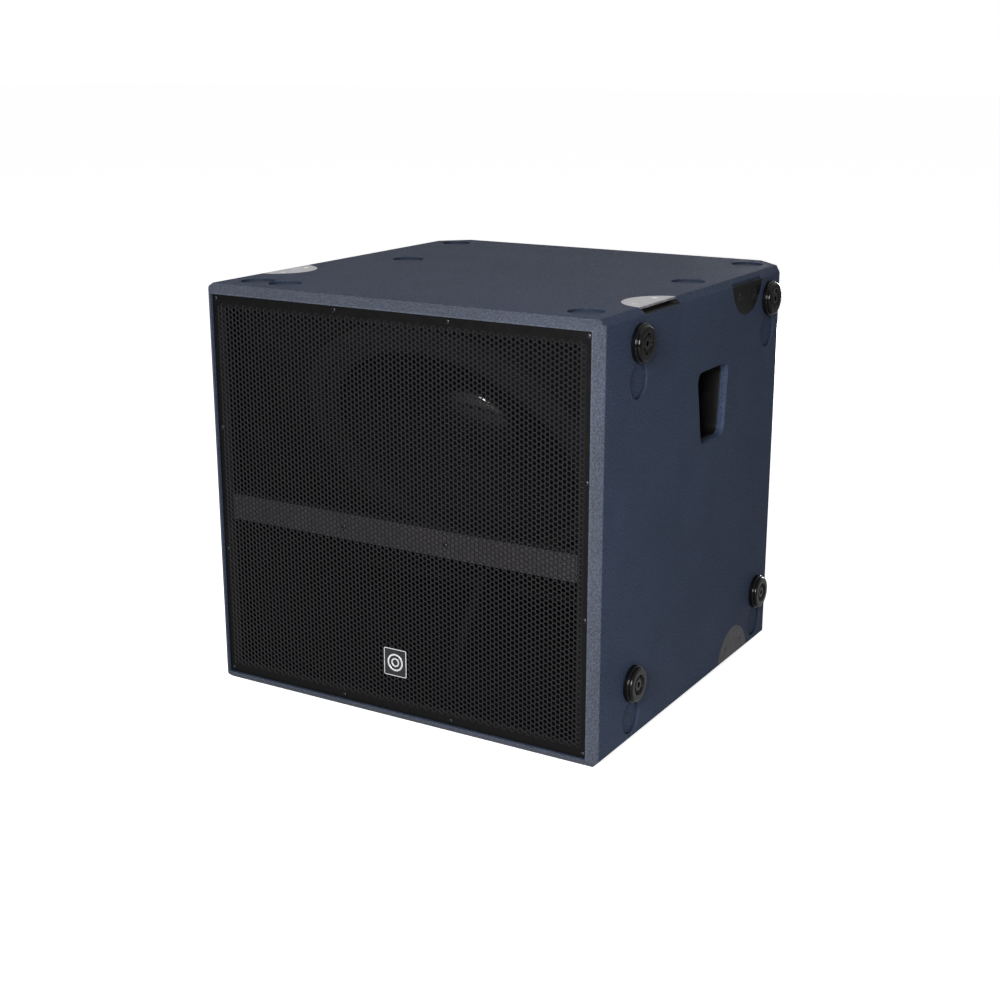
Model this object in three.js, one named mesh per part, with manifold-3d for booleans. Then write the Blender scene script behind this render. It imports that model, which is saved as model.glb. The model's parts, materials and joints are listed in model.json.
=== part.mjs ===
// Compact professional subwoofer cabinet: plywood shell, inclined 18 inch driver, slot port.
// Units are millimetres, +Z is up, -Y is the grille side and +X is the right-hand side.
// The cabinet is drawn from its front lower edge: x across, y backwards, z up from its underside.
import * as THREE from 'three';
import { mergeVertices } from 'three/addons/utils/BufferGeometryUtils.js';
import Module from 'manifold-3d';

const wasm = await Module();
wasm.setup();

// ---------- driving dimensions ----------
const WIDTH = 600;
const HEIGHT = 566;
const DEPTH = 604;
const PLY = 15;                 // cabinet panels
const SEAM = 0.3;               // glue line or seating gap between neighbours
const FRONT_CHAMFER = 12;       // bevel round the front edge
const LONG_CHAMFER = 8.5;       // bevel along the four long edges
const REAR_CHAMFER = 47;        // plan size of the two cut-off rear corners

const RIM = 13.2;               // outer face to the grille opening
const GRILLE_SETBACK = 4;
const GRILLE_SHEET = 2;
const FRAME_DEPTH = 18;         // front frame behind the grille
const FRAME_BORDER = 16;
const RAIL_BOTTOM = 242;        // crossbar of the front frame
const RAIL_TOP = 277;

const SCREW_INSET = 5.5;        // grille edge to screw axis
const SCREW_HEAD_R = 4;
const SCREW_HEAD_H = 1.6;
const SCREW_SHANK_R = 1.6;
const SCREW_LENGTH = 15;
const SCREW_COLUMN_X = 86;      // inner screws of the top and bottom rows
const SCREW_ROW_OFFSET = 87;    // side screws above and below mid height
const RAIL_SCREW_X = 80;

const BADGE_WIDTH = 36;
const BADGE_HEIGHT = 39;
const BADGE_THICK = 1.2;
const BADGE_Z = 84;

const DRIVER_TILT = THREE.MathUtils.degToRad(32);
const DRIVER_Y = 164;           // centre of the driver on the baffle's front face
const DRIVER_DROP = 228;        // cabinet top down to that centre
const BAFFLE_PLY = 18;
const FLANGE_R = 231;
const FLANGE_H = 8;
const FLANGE_SEAT = 18;         // how far the flange overlaps the baffle
const SURROUND_WIDTH = 26;
const SPIDER_R = 113;
const CONE_DEPTH = 57;
const COIL_R = 50;
const TRAVEL_ROOM = 10;         // clear travel each way behind the cone

const PORT_HEIGHT = 80;
const PORT_FRONT = 292;
const PORT_BACK = 470;
const GUSSET_THICK = 15;
const GUSSET_TOE = 135;         // front foot of the centre gusset
const GUSSET_TOP = 150;
const GUSSET_SLOPE = 0.697;     // backward run for each unit of height

const PUCK_R = 25;
const PUCK_CAP_R = 22.7;
const PUCK_HEIGHT = 12;
const PUCK_STEP = 7;            // height of the wide base
const POCKET_R = 23;
const POCKET_DEPTH = 3;
const POCKET_PITCH = 46.5;      // puck axis to its neighbouring pocket
const PUCK_FRONT_Y = 100;
const PUCK_REAR_INSET = 88;
const PUCK_UPPER_DROP = 40.5;   // cabinet top down to the upper pucks
const PUCK_LOWER_Z = 84;

const FOOT_INSET = 50;          // side face to foot axis
const FOOT_FRONT_Y = 56;
const FOOT_REAR_INSET = 49;
const MID_POCKET_Y = 348;

const PLATE_R = 53;             // D-shaped edge plates
const PLATE_THICK = 3;
const PLATE_FRONT_Y = 166;
const PLATE_REAR_INSET = 167;
const PLATE_SLOT = 5;           // undercut below a plate's straight edge
const PLATE_SCREW_PITCH = 54;
const PLATE_SCREW_INSET = 17;   // straight edge to screw axis
const PLATE_SCREW_R = 2.6;

const HANDLE_DROP = 111;        // cabinet top down to the cut-out
const HANDLE_HEIGHT = 98;
const HANDLE_TOP_Y = [279, 380];
const HANDLE_BOTTOM_Y = [297, 370];
const HANDLE_CORNER = 8;
const CUP_DEPTH = 70;
const CUP_WALL = 4;
const CUP_MARGIN = 8;           // cup cavity beyond the cut-out
const CUP_FLANGE = 12;

const DISH_WIDTH = 161;
const DISH_HEIGHT = 101;
const DISH_DEPTH = 44;
const DISH_WALL = 3;
const DISH_FLANGE = 12;
const DISH_FLANGE_THICK = 4;
const DISH_Z = 283;
const SOCKET_X = 32;
const SOCKET_R = 12;
const SOCKET_WELL_R = 9.5;
const SOCKET_WELL_DEPTH = 14;
const SOCKET_LENGTH = 18;

const CABLE_R = 3.5;

// ---------- sizes worked out from the values above ----------
const halfWidth = WIDTH / 2;
const innerX = halfWidth - PLY;
const sheetBack = GRILLE_SETBACK + GRILLE_SHEET;
const openX = halfWidth - RIM;
const openBottom = RIM;
const openTop = HEIGHT - RIM;
const frameFront = sheetBack + SEAM;
const frameBack = frameFront + FRAME_DEPTH;
const portTop = PLY + PORT_HEIGHT;
const sideBottom = PLY + SEAM;
const sideTop = HEIGHT - PLY - SEAM;
const midHeight = HEIGHT / 2;
const driverZ = HEIGHT - DRIVER_DROP;
const cutoutR = FLANGE_R - FLANGE_SEAT;
const throatR = cutoutR - 7;
const coneR = throatR - SURROUND_WIDTH;
const puckRearY = DEPTH - PUCK_REAR_INSET;
const puckUpperZ = HEIGHT - PUCK_UPPER_DROP;
const footX = halfWidth - FOOT_INSET;
const footRearY = DEPTH - FOOT_REAR_INSET;
const plateRearY = DEPTH - PLATE_REAR_INSET;
const handleTop = HEIGHT - HANDLE_DROP;
const handleBottom = handleTop - HANDLE_HEIGHT;

// ---------- materials ----------
const finish = (color, roughness, metalness) =>
  new THREE.MeshStandardMaterial({ color, roughness, metalness });
const paint = finish(0x2c3844, 0.75, 0.0);
const rawPly = finish(0x1b1c1e, 0.85, 0.0);
const blackSteel = finish(0x141416, 0.5, 0.6);
const brightSteel = finish(0xb9bcc0, 0.35, 0.9);
const blackPlastic = finish(0x101012, 0.4, 0.0);
const rubber = finish(0x0c0c0d, 0.45, 0.0);
const castMetal = finish(0x2a2b2e, 0.55, 0.7);
const ferrite = finish(0x3a3a3c, 0.7, 0.2);
const paper = finish(0x1a1a1b, 0.9, 0.0);
const cloth = finish(0x2a2622, 0.95, 0.0);
const copper = finish(0xa8663c, 0.4, 0.8);
const cableSkin = finish(0x17171a, 0.6, 0.0);

// ---------- solids ----------
function solid(geometry) {
  const bare = geometry.index ? geometry.toNonIndexed() : geometry.clone();
  bare.deleteAttribute('normal');
  bare.deleteAttribute('uv');
  const merged = mergeVertices(bare, 1e-4);
  return new wasm.Manifold(new wasm.Mesh({
    numProp: 3,
    vertProperties: new Float32Array(merged.attributes.position.array),
    triVerts: new Uint32Array(merged.index.array),
  }));
}

function toGeometry(body) {
  const mesh = body.getMesh();
  const geometry = new THREE.BufferGeometry();
  geometry.setAttribute('position', new THREE.BufferAttribute(mesh.vertProperties, 3));
  geometry.setIndex(new THREE.BufferAttribute(mesh.triVerts, 1));
  geometry.computeVertexNormals();
  return geometry;
}

function box(x0, x1, y0, y1, z0, z1) {
  const geometry = new THREE.BoxGeometry(x1 - x0, y1 - y0, z1 - z0);
  return solid(geometry.translate((x0 + x1) / 2, (y0 + y1) / 2, (z0 + z1) / 2));
}

// A cylinder from one point along an axis ('x', 'y' or 'z') by a signed length.
function rod(radius, axis, from, length, sides = 24) {
  const geometry = new THREE.CylinderGeometry(radius, radius, Math.abs(length), sides);
  if (axis === 'x') geometry.rotateZ(Math.PI / 2);
  if (axis === 'z') geometry.rotateX(Math.PI / 2);
  const middle = new THREE.Vector3(...from);
  middle[axis] += length / 2;
  return solid(geometry.translate(middle.x, middle.y, middle.z));
}

function outline(points) {
  return new THREE.Shape(points.map(([u, v]) => new THREE.Vector2(u, v)));
}

function prism(shape, length, curveSegments = 12) {
  return new THREE.ExtrudeGeometry(shape, { depth: length, bevelEnabled: false, curveSegments });
}

// Outline in plan (x, y), raised from z0 to z1.
const planPrism = (shape, z0, z1, curve) => solid(prism(shape, z1 - z0, curve).translate(0, 0, z0));

// Outline in side view (y, z), spread from x0 to x1.
function sidePrism(shape, x0, x1, curve) {
  const geometry = prism(shape, x1 - x0, curve);
  const turn = new THREE.Matrix4().makeBasis(
    new THREE.Vector3(0, 1, 0), new THREE.Vector3(0, 0, 1), new THREE.Vector3(1, 0, 0));
  return solid(geometry.applyMatrix4(turn).translate(x0, 0, 0));
}

// Outline in front view (x, z), spread from y0 to y1.
function frontPrism(shape, y0, y1, curve) {
  const geometry = prism(shape, y1 - y0, curve);
  return solid(geometry.rotateX(Math.PI / 2).translate(0, y1, 0));
}

// Profile of (radius, height) points turned about the z axis; the profile closes on itself.
function turned(profile, sides = 48) {
  const points = [...profile, profile[0]].map(([r, z]) => new THREE.Vector2(r, z));
  return new THREE.LatheGeometry(points, sides).rotateX(Math.PI / 2);
}

const minusAll = (body, cutters) => cutters.reduce((rest, cutter) => rest.subtract(cutter), body);

// ---------- scene graph ----------
const cabinet = new THREE.Group();
cabinet.position.set(0, -DEPTH / 2, PUCK_HEIGHT);

const driver = new THREE.Group();
driver.position.set(0, DRIVER_Y, driverZ);
driver.rotation.x = Math.PI / 2 + DRIVER_TILT;
driver.updateMatrix();

function place(name, shape, material, parent = cabinet) {
  const geometry = shape.isBufferGeometry ? shape : toGeometry(shape);
  const mesh = new THREE.Mesh(geometry, material);
  mesh.name = name;
  parent.add(mesh);
  return mesh;
}

// A lathe profile's faces are turned outwards by way of the solid.
function latheSolid(profile, sides) {
  const body = solid(turned(profile, sides));
  if (body.volume() > 0) return body;
  return solid(turned([...profile].reverse(), sides));
}

// ---------- outer form shared by all panels ----------
const planOutline = outline([
  [-halfWidth + FRONT_CHAMFER, 0], [halfWidth - FRONT_CHAMFER, 0], [halfWidth, FRONT_CHAMFER],
  [halfWidth, DEPTH - REAR_CHAMFER], [halfWidth - REAR_CHAMFER, DEPTH],
  [-halfWidth + REAR_CHAMFER, DEPTH], [-halfWidth, DEPTH - REAR_CHAMFER],
  [-halfWidth, FRONT_CHAMFER],
]);
const noseOutline = outline([
  [0, FRONT_CHAMFER], [FRONT_CHAMFER, 0], [DEPTH + 1, 0], [DEPTH + 1, HEIGHT],
  [FRONT_CHAMFER, HEIGHT], [0, HEIGHT - FRONT_CHAMFER],
]);
const ringOutline = outline([
  [-halfWidth, LONG_CHAMFER], [-halfWidth + LONG_CHAMFER, 0], [halfWidth - LONG_CHAMFER, 0],
  [halfWidth, LONG_CHAMFER], [halfWidth, HEIGHT - LONG_CHAMFER],
  [halfWidth - LONG_CHAMFER, HEIGHT], [-halfWidth + LONG_CHAMFER, HEIGHT],
  [-halfWidth, HEIGHT - LONG_CHAMFER],
]);
const envelope = planPrism(planOutline, 0, HEIGHT)
  .intersect(sidePrism(noseOutline, -halfWidth - 1, halfWidth + 1))
  .intersect(frontPrism(ringOutline, -1, DEPTH + 1));
const grilleRebate = box(-openX, openX, -1, frameFront + SEAM, openBottom, openTop);

// ---------- edge plates, in a local frame: x inwards from the edge, y along it, z out ----------
// The straight side starts at the long chamfer; the round side has its centre on the edge line.
function plateShape(radius, straight) {
  const angle = Math.acos(straight / radius);
  const shape = new THREE.Shape();
  shape.absarc(0, 0, radius, -angle, angle, false);
  shape.closePath();
  return shape;
}

function plateBody() {
  const straight = LONG_CHAMFER + SEAM;
  const geometry = prism(plateShape(PLATE_R, straight), PLATE_THICK, 14);
  let body = solid(geometry.translate(0, 0, -PLATE_THICK));
  for (const side of [-1, 1]) {
    const at = [straight + PLATE_SCREW_INSET, side * PLATE_SCREW_PITCH / 2, -PLATE_THICK - 1];
    body = body.subtract(rod(PLATE_SCREW_R, 'z', at, PLATE_THICK + 2, 12));
  }
  return body;
}

function plateRecess(slotted) {
  const depth = PLATE_THICK + SEAM;
  const pocket = prism(plateShape(PLATE_R + SEAM, -2), depth + 2, 14);
  const bed = solid(pocket.translate(0, 0, -depth));
  if (!slotted) return bed;
  const halfSlot = Math.sqrt(PLATE_R ** 2 - LONG_CHAMFER ** 2) - 2;
  const undercut = box(-2, LONG_CHAMFER + 8, -halfSlot, halfSlot, -depth - PLATE_SLOT, 1);
  return bed.add(undercut);
}

// Edge line point, inward direction, outward face normal.
const plateSeats = [];
for (const [side, sign] of [['left', -1], ['right', 1]]) {
  plateSeats.push({
    name: `edge_plate_top_${side}`,
    at: [sign * halfWidth, PLATE_FRONT_Y, HEIGHT], inward: [-sign, 0, 0], out: [0, 0, 1],
  });
  for (const [level, z, up] of [['upper', HEIGHT, -1], ['lower', 0, 1]]) {
    plateSeats.push({
      name: `edge_plate_rear_${level}_${side}`,
      at: [sign * halfWidth, plateRearY, z], inward: [0, 0, up], out: [sign, 0, 0],
    });
  }
}

function seatMatrix({ at, inward, out }) {
  const x = new THREE.Vector3(...inward);
  const z = new THREE.Vector3(...out);
  const y = new THREE.Vector3().crossVectors(z, x);
  return new THREE.Matrix4().makeBasis(x, y, z).setPosition(...at);
}

const seated = (body, seat) => solid(toGeometry(body).applyMatrix4(seatMatrix(seat)));
// Only the top plates have the slot for a linking hook under their straight edge.
const recesses = plateSeats.map((seat) => seated(plateRecess(seat.out[2] === 1), seat));
const plateScrewHoles = plateSeats.map((seat) => {
  const straight = LONG_CHAMFER + SEAM + PLATE_SCREW_INSET;
  const depth = PLATE_THICK + PLATE_SLOT;
  const pair = [-1, 1].map((side) => rod(
    PLATE_SCREW_R - 0.6, 'z', [straight, side * PLATE_SCREW_PITCH / 2, -PLATE_THICK - depth], depth, 8));
  return seated(pair[0].add(pair[1]), seat);
});

// ---------- pockets that take the pucks of the next cabinet ----------
const topPocketPlaces = [
  [-footX, FOOT_FRONT_Y], [-footX + POCKET_PITCH, FOOT_FRONT_Y],
  [-footX + POCKET_PITCH, MID_POCKET_Y], [-footX, footRearY],
  [footX, FOOT_FRONT_Y], [footX, MID_POCKET_Y], [footX, footRearY],
];
const topPockets = topPocketPlaces.map(([x, y]) =>
  rod(POCKET_R, 'z', [x, y, HEIGHT - POCKET_DEPTH], POCKET_DEPTH + 1, 24));
const sidePockets = [];
for (const sign of [-1, 1]) {
  for (const y of [PUCK_FRONT_Y, puckRearY]) {
    for (const z of [puckUpperZ, PUCK_LOWER_Z]) {
      const from = [sign * (halfWidth - POCKET_DEPTH), y, z - POCKET_PITCH];
      sidePockets.push(rod(POCKET_R, 'x', from, sign * (POCKET_DEPTH + 1), 24));
    }
  }
}
// ---------- grille size and its screw places ----------
const grilleX = openX - SEAM;
const grilleBottom = openBottom + SEAM;
const grilleTop = openTop - SEAM;
const screwPlaces = [];
for (const z of [grilleTop - SCREW_INSET, grilleBottom + SCREW_INSET]) {
  for (const x of [-grilleX + SCREW_INSET, -SCREW_COLUMN_X, SCREW_COLUMN_X, grilleX - SCREW_INSET]) {
    screwPlaces.push([x, z]);
  }
}
for (const x of [-grilleX + SCREW_INSET, grilleX - SCREW_INSET]) {
  for (const z of [midHeight + SCREW_ROW_OFFSET, midHeight - SCREW_ROW_OFFSET]) screwPlaces.push([x, z]);
}
for (const x of [-RAIL_SCREW_X, RAIL_SCREW_X]) screwPlaces.push([x, (RAIL_BOTTOM + RAIL_TOP) / 2]);
const pilots = screwPlaces.map(([x, z]) =>
  rod(SCREW_SHANK_R + 0.2, 'y', [x, frameFront - 1, z], SCREW_LENGTH, 8));

const outerCuts = [grilleRebate, ...pilots, ...recesses, ...plateScrewHoles, ...sidePockets];

// ---------- handle cut-out and cup ----------
function handleShape(grow) {
  const corners = [
    [HANDLE_BOTTOM_Y[0] - grow, handleBottom - grow],
    [HANDLE_BOTTOM_Y[1] + grow, handleBottom - grow],
    [HANDLE_TOP_Y[1] + grow, handleTop + grow], [HANDLE_TOP_Y[0] - grow, handleTop + grow],
  ];
  const points = corners.map(([y, z]) => new THREE.Vector2(y, z));
  const shape = new THREE.Shape();
  points.forEach((corner, i) => {
    const before = points[(i + 3) % 4];
    const after = points[(i + 1) % 4];
    const enter = before.clone().sub(corner).setLength(HANDLE_CORNER + grow / 2).add(corner);
    const leave = after.clone().sub(corner).setLength(HANDLE_CORNER + grow / 2).add(corner);
    if (i === 0) shape.moveTo(enter.x, enter.y);
    else shape.lineTo(enter.x, enter.y);
    shape.quadraticCurveTo(corner.x, corner.y, leave.x, leave.y);
  });
  shape.closePath();
  return shape;
}

// The handle's outline spread between two distances from the middle of the cabinet.
function handlePrism(sign, grow, x0, x1) {
  const ends = [sign * x0, sign * x1].sort((a, b) => a - b);
  return sidePrism(handleShape(grow), ...ends, 5);
}

function handleCup(sign) {
  const mouth = innerX - SEAM;
  const floor = mouth - CUP_DEPTH;
  const shell = handlePrism(sign, CUP_MARGIN + CUP_WALL, floor, mouth);
  const flange = handlePrism(sign, CUP_MARGIN + CUP_FLANGE, mouth - CUP_WALL, mouth);
  const cavity = handlePrism(sign, CUP_MARGIN, floor + CUP_WALL, mouth + 1);
  return shell.add(flange).subtract(cavity);
}

// ---------- panels ----------
function topPanel() {
  const slab = envelope.intersect(box(-WIDTH, WIDTH, -1, DEPTH + 1, HEIGHT - PLY, HEIGHT + 1));
  return minusAll(slab, [...outerCuts, ...topPockets]);
}

function bottomPanel() {
  return minusAll(envelope.intersect(box(-WIDTH, WIDTH, -1, DEPTH + 1, -1, PLY)), outerCuts);
}

// Where the inner faces of a side panel and its rear corner strip meet.
const mitreY = DEPTH - REAR_CHAMFER - PLY * Math.tan(Math.PI / 8);
const mitreX = halfWidth - REAR_CHAMFER - PLY * Math.tan(Math.PI / 8);

function sidePanel(sign) {
  const plan = outline([
    [innerX, -1], [halfWidth + 1, -1], [halfWidth + 1, DEPTH - REAR_CHAMFER - SEAM],
    [halfWidth, DEPTH - REAR_CHAMFER - SEAM], [innerX, mitreY - SEAM],
  ].map(([x, y]) => [sign * x, y]));
  const cut = handlePrism(sign, 0, innerX - 1, halfWidth + 1);
  return minusAll(envelope.intersect(planPrism(plan, sideBottom, sideTop)), [...outerCuts, cut]);
}

function rearCorner(sign) {
  const plan = outline([
    [halfWidth, DEPTH - REAR_CHAMFER], [halfWidth - REAR_CHAMFER, DEPTH],
    [mitreX, DEPTH - PLY], [innerX, mitreY],
  ].map(([x, y]) => [sign * x, y]));
  return planPrism(plan, sideBottom, sideTop);
}

function rearPanel() {
  const outer = halfWidth - REAR_CHAMFER - SEAM;
  const inner = mitreX - SEAM;
  const plan = outline([[-outer, DEPTH], [-inner, DEPTH - PLY], [inner, DEPTH - PLY], [outer, DEPTH]]);
  const halfW = DISH_WIDTH / 2 + SEAM;
  const halfH = DISH_HEIGHT / 2 + SEAM;
  const hole = box(-halfW, halfW, DEPTH - PLY - 1, DEPTH + 1, DISH_Z - halfH, DISH_Z + halfH);
  const rebateFloor = DEPTH - DISH_FLANGE_THICK - SEAM;
  const rebate = box(-halfW - DISH_FLANGE, halfW + DISH_FLANGE, rebateFloor, DEPTH + 1,
    DISH_Z - halfH - DISH_FLANGE, DISH_Z + halfH + DISH_FLANGE);
  return planPrism(plan, sideBottom, sideTop).subtract(hole).subtract(rebate);
}

// ---------- front frame and grille ----------
function frontFrame() {
  const outerX = innerX - SEAM;
  const windowX = outerX - FRAME_BORDER;
  const ring = box(-outerX, outerX, frameFront, frameBack, sideBottom, sideTop);
  const upper = box(-windowX, windowX, 0, frameBack + 1, RAIL_TOP, sideTop - FRAME_BORDER);
  const lower = box(-windowX, windowX, 0, frameBack + 1, sideBottom + FRAME_BORDER, RAIL_BOTTOM);
  return minusAll(ring, [upper, lower, ...pilots]);
}

function grilleSheet() {
  const sheet = box(-grilleX, grilleX, GRILLE_SETBACK, sheetBack, grilleBottom, grilleTop);
  const holes = screwPlaces.map(([x, z]) =>
    rod(SCREW_SHANK_R + 0.6, 'y', [x, GRILLE_SETBACK - 1, z], GRILLE_SHEET + 2, 8));
  return minusAll(sheet, holes);
}

// Pan head screw, head towards local +z, seat at z = 0.
function grilleScrew() {
  const tip = -SCREW_LENGTH + 2;
  return latheSolid([
    [0, tip], [SCREW_SHANK_R, tip + 2], [SCREW_SHANK_R, SEAM], [SCREW_HEAD_R, SEAM],
    [SCREW_HEAD_R - 0.3, SCREW_HEAD_H * 0.7], [SCREW_HEAD_R * 0.6, SCREW_HEAD_H], [0, SCREW_HEAD_H],
  ], 12);
}

// ---------- inner woodwork ----------
function driverBaffle() {
  const sheet = new THREE.BoxGeometry(2 * (innerX - SEAM), 2 * HEIGHT, BAFFLE_PLY);
  sheet.translate(0, 0, -BAFFLE_PLY / 2);
  const hole = rod(cutoutR, 'z', [0, 0, -BAFFLE_PLY - 1], BAFFLE_PLY + 2, 48);
  const cut = solid(toGeometry(solid(sheet).subtract(hole)).applyMatrix4(driver.matrix));
  const room = box(-innerX, innerX, frameBack + SEAM, DEPTH - PLY, portTop + PLY + SEAM, sideTop);
  return cut.intersect(room);
}

function portPanel() {
  return box(-innerX + SEAM, innerX - SEAM, PORT_FRONT, PORT_BACK, portTop, portTop + PLY);
}

function centreGusset() {
  const half = GUSSET_THICK / 2;
  const headY = GUSSET_TOE + GUSSET_SLOPE * (GUSSET_TOP - sideBottom);
  const shape = outline([
    [GUSSET_TOE, sideBottom], [PORT_BACK, sideBottom], [PORT_BACK, portTop - SEAM],
    [PORT_FRONT - SEAM, portTop - SEAM], [PORT_FRONT - SEAM, portTop + PLY], [headY + 12, GUSSET_TOP],
    [headY, GUSSET_TOP],
  ]);
  return sidePrism(shape, -half, half);
}

// ---------- pucks, used as side bumpers and as feet: base at z = 0, cap towards +z ----------
function puckGeometry() {
  const socket = 6;
  return toGeometry(latheSolid([
    [0, SEAM], [PUCK_R, SEAM], [PUCK_R, PUCK_STEP], [PUCK_CAP_R, PUCK_STEP], [PUCK_CAP_R, PUCK_HEIGHT],
    [socket, PUCK_HEIGHT], [socket, PUCK_HEIGHT - 5], [0, PUCK_HEIGHT - 5],
  ], 24));
}

// ---------- connector dish and sockets ----------
function connectorDish() {
  const halfW = DISH_WIDTH / 2;
  const halfH = DISH_HEIGHT / 2;
  const back = DEPTH - DISH_DEPTH;
  const cup = box(-halfW, halfW, back, DEPTH, DISH_Z - halfH, DISH_Z + halfH);
  const flange = box(-halfW - DISH_FLANGE, halfW + DISH_FLANGE, DEPTH - DISH_FLANGE_THICK, DEPTH,
    DISH_Z - halfH - DISH_FLANGE, DISH_Z + halfH + DISH_FLANGE);
  const cavity = box(-halfW + DISH_WALL, halfW - DISH_WALL, back + DISH_WALL, DEPTH + 1,
    DISH_Z - halfH + DISH_WALL, DISH_Z + halfH - DISH_WALL);
  const holes = [-SOCKET_X, SOCKET_X].map((x) =>
    rod(SOCKET_R + SEAM, 'y', [x, back - 1, DISH_Z], DISH_WALL + 2, 24));
  return minusAll(cup.add(flange), [cavity, ...holes]);
}

// Local +z points out of the cabinet; z = 0 is the face of the dish floor.
function socketGeometry() {
  const back = -SOCKET_LENGTH;
  const flangeR = SOCKET_R + 3;
  const lip = 2.2;
  return toGeometry(latheSolid([
    [0, back], [SOCKET_R, back], [SOCKET_R, SEAM], [flangeR, SEAM], [flangeR, lip], [SOCKET_WELL_R, lip],
    [SOCKET_WELL_R, lip - SOCKET_WELL_DEPTH], [0, lip - SOCKET_WELL_DEPTH],
  ], 24));
}

// ---------- driver: local +z points out of the cone, z = 0 is the baffle's front face ----------
const spiderZ = -95;
const basketFloor = -106;
const plateTop = -110 - SEAM;
const plateBottom = plateTop - 10;
const magnetTop = plateBottom - SEAM;
const magnetBottom = magnetTop - 25;
const backPlateTop = magnetBottom - SEAM;
const backPlateBottom = backPlateTop - 12;
const coilOuter = COIL_R + 1.5;
const coilInner = COIL_R - 0.7;
const coneEdgeZ = -5;
const coneNeckZ = coneEdgeZ - CONE_DEPTH;
const coneNeckR = coilOuter + SEAM;
const capR = 63;

function basket() {
  const frame = latheSolid([
    [FLANGE_R, SEAM], [FLANGE_R, FLANGE_H], [throatR, FLANGE_H], [throatR, 0], [throatR - 6, -24],
    [SPIDER_R + 3, spiderZ], [SPIDER_R - 13, spiderZ], [SPIDER_R - 13, basketFloor], [62, basketFloor],
    [62, -110], [SPIDER_R + 8, -110], [SPIDER_R + 8, -101], [cutoutR - 8, -27], [cutoutR - 2, SEAM],
  ], 36);
  let body = frame;
  const windows = 6;
  for (let i = 0; i < windows; i += 1) {
    const opening = new THREE.BoxGeometry(90, 74, 46).translate(165, 0, -60);
    body = body.subtract(solid(opening.rotateZ((i + 0.5) * 2 * Math.PI / windows)));
  }
  const terminal = box(125, 150, -10, 10, -100, -88);
  return body.add(terminal);
}

function backPlate() {
  const pole = coilInner - 1.8;
  const vent = 16;
  return latheSolid([
    [vent, backPlateBottom], [92, backPlateBottom], [92, backPlateTop], [pole, backPlateTop],
    [pole, plateTop], [vent, plateTop],
  ], 32);
}

const ring = (inner, outer, low, high, sides) =>
  latheSolid([[inner, low], [outer, low], [outer, high], [inner, high]], sides);

function cone() {
  return latheSolid([
    [coneNeckR, coneNeckZ - 6], [coneNeckR + 2.5, coneNeckZ - 6], [coneR, coneEdgeZ - 2.5],
    [coneR, coneEdgeZ], [coneR - 3, coneEdgeZ], [coneNeckR, coneNeckZ],
  ], 36);
}

function dustCap() {
  const rimZ = coneNeckZ + (capR - coneNeckR) * CONE_DEPTH / (coneR - 3 - coneNeckR) + 0.5;
  const rise = 19;
  const steps = 4;
  const arc = (radius, lift) => Array.from({ length: steps + 1 }, (_, i) => {
    const angle = (i / steps) * Math.PI / 2;
    return [radius * Math.cos(angle), rimZ + lift * Math.sin(angle)];
  });
  const outer = arc(capR, rise);
  const inner = arc(capR - 1.6, rise - 1.6).reverse();
  outer[steps][0] = 0;
  inner[0][0] = 0;
  return latheSolid([...outer, ...inner], 24);
}

function surround() {
  const inner = coneR + SEAM;
  const outer = throatR - SEAM;
  const middle = (inner + outer) / 2;
  const span = (outer - inner) / 2;
  const steps = 5;
  const rollBase = 1;
  const rubberThick = 1.6;
  const roll = (shrink) => Array.from({ length: steps + 1 }, (_, i) => {
    const angle = Math.PI * (1 - i / steps);
    return [middle + (span - shrink) * Math.cos(angle), rollBase + (span - shrink) * Math.sin(angle)];
  });
  const over = roll(0);
  const under = roll(rubberThick).reverse();
  return latheSolid([[inner, coneEdgeZ - 1], ...over, [outer, SEAM], [outer - rubberThick, SEAM],
    ...under, [inner + rubberThick, coneEdgeZ - 1]], 36);
}

// ---------- cable from the right socket to the driver's terminal ----------
function cable() {
  const terminalEnd = new THREE.Vector3(150 + SEAM, 0, -94).applyMatrix4(driver.matrix);
  const socketBack = DEPTH - DISH_DEPTH + DISH_WALL - SOCKET_LENGTH;
  const socketEnd = new THREE.Vector3(SOCKET_X, socketBack - SEAM, DISH_Z);
  const route = new THREE.CatmullRomCurve3([
    terminalEnd,
    terminalEnd.clone().add(new THREE.Vector3(14, 0, 0)),
    new THREE.Vector3(182, terminalEnd.y + 30, terminalEnd.z - 12),
    new THREE.Vector3(170, 340, 330),
    new THREE.Vector3(120, 430, 290),
    new THREE.Vector3(60, 490, DISH_Z),
    socketEnd.clone().add(new THREE.Vector3(0, -16, 0)),
    socketEnd,
  ], false, 'centripetal');
  const section = new THREE.Shape();
  section.absarc(0, 0, CABLE_R, 0, 2 * Math.PI, false);
  return solid(new THREE.ExtrudeGeometry(section, { steps: 36, extrudePath: route, curveSegments: 4 }));
}

// ---------- assembly ----------
place('top_panel', topPanel(), paint);
place('bottom_panel', bottomPanel(), paint);
place('left_panel', sidePanel(-1), paint);
place('right_panel', sidePanel(1), paint);
place('rear_panel', rearPanel(), paint);
place('rear_corner_left', rearCorner(-1), paint);
place('rear_corner_right', rearCorner(1), paint);
place('front_frame', frontFrame(), rawPly);
place('driver_baffle', driverBaffle(), rawPly);
place('port_panel', portPanel(), rawPly);
place('centre_gusset', centreGusset(), rawPly);
place('grille', grilleSheet(), blackSteel);
place('badge_plate', box(-BADGE_WIDTH / 2, BADGE_WIDTH / 2, GRILLE_SETBACK - SEAM - BADGE_THICK,
  GRILLE_SETBACK - SEAM, BADGE_Z - BADGE_HEIGHT / 2, BADGE_Z + BADGE_HEIGHT / 2), brightSteel);

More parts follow.
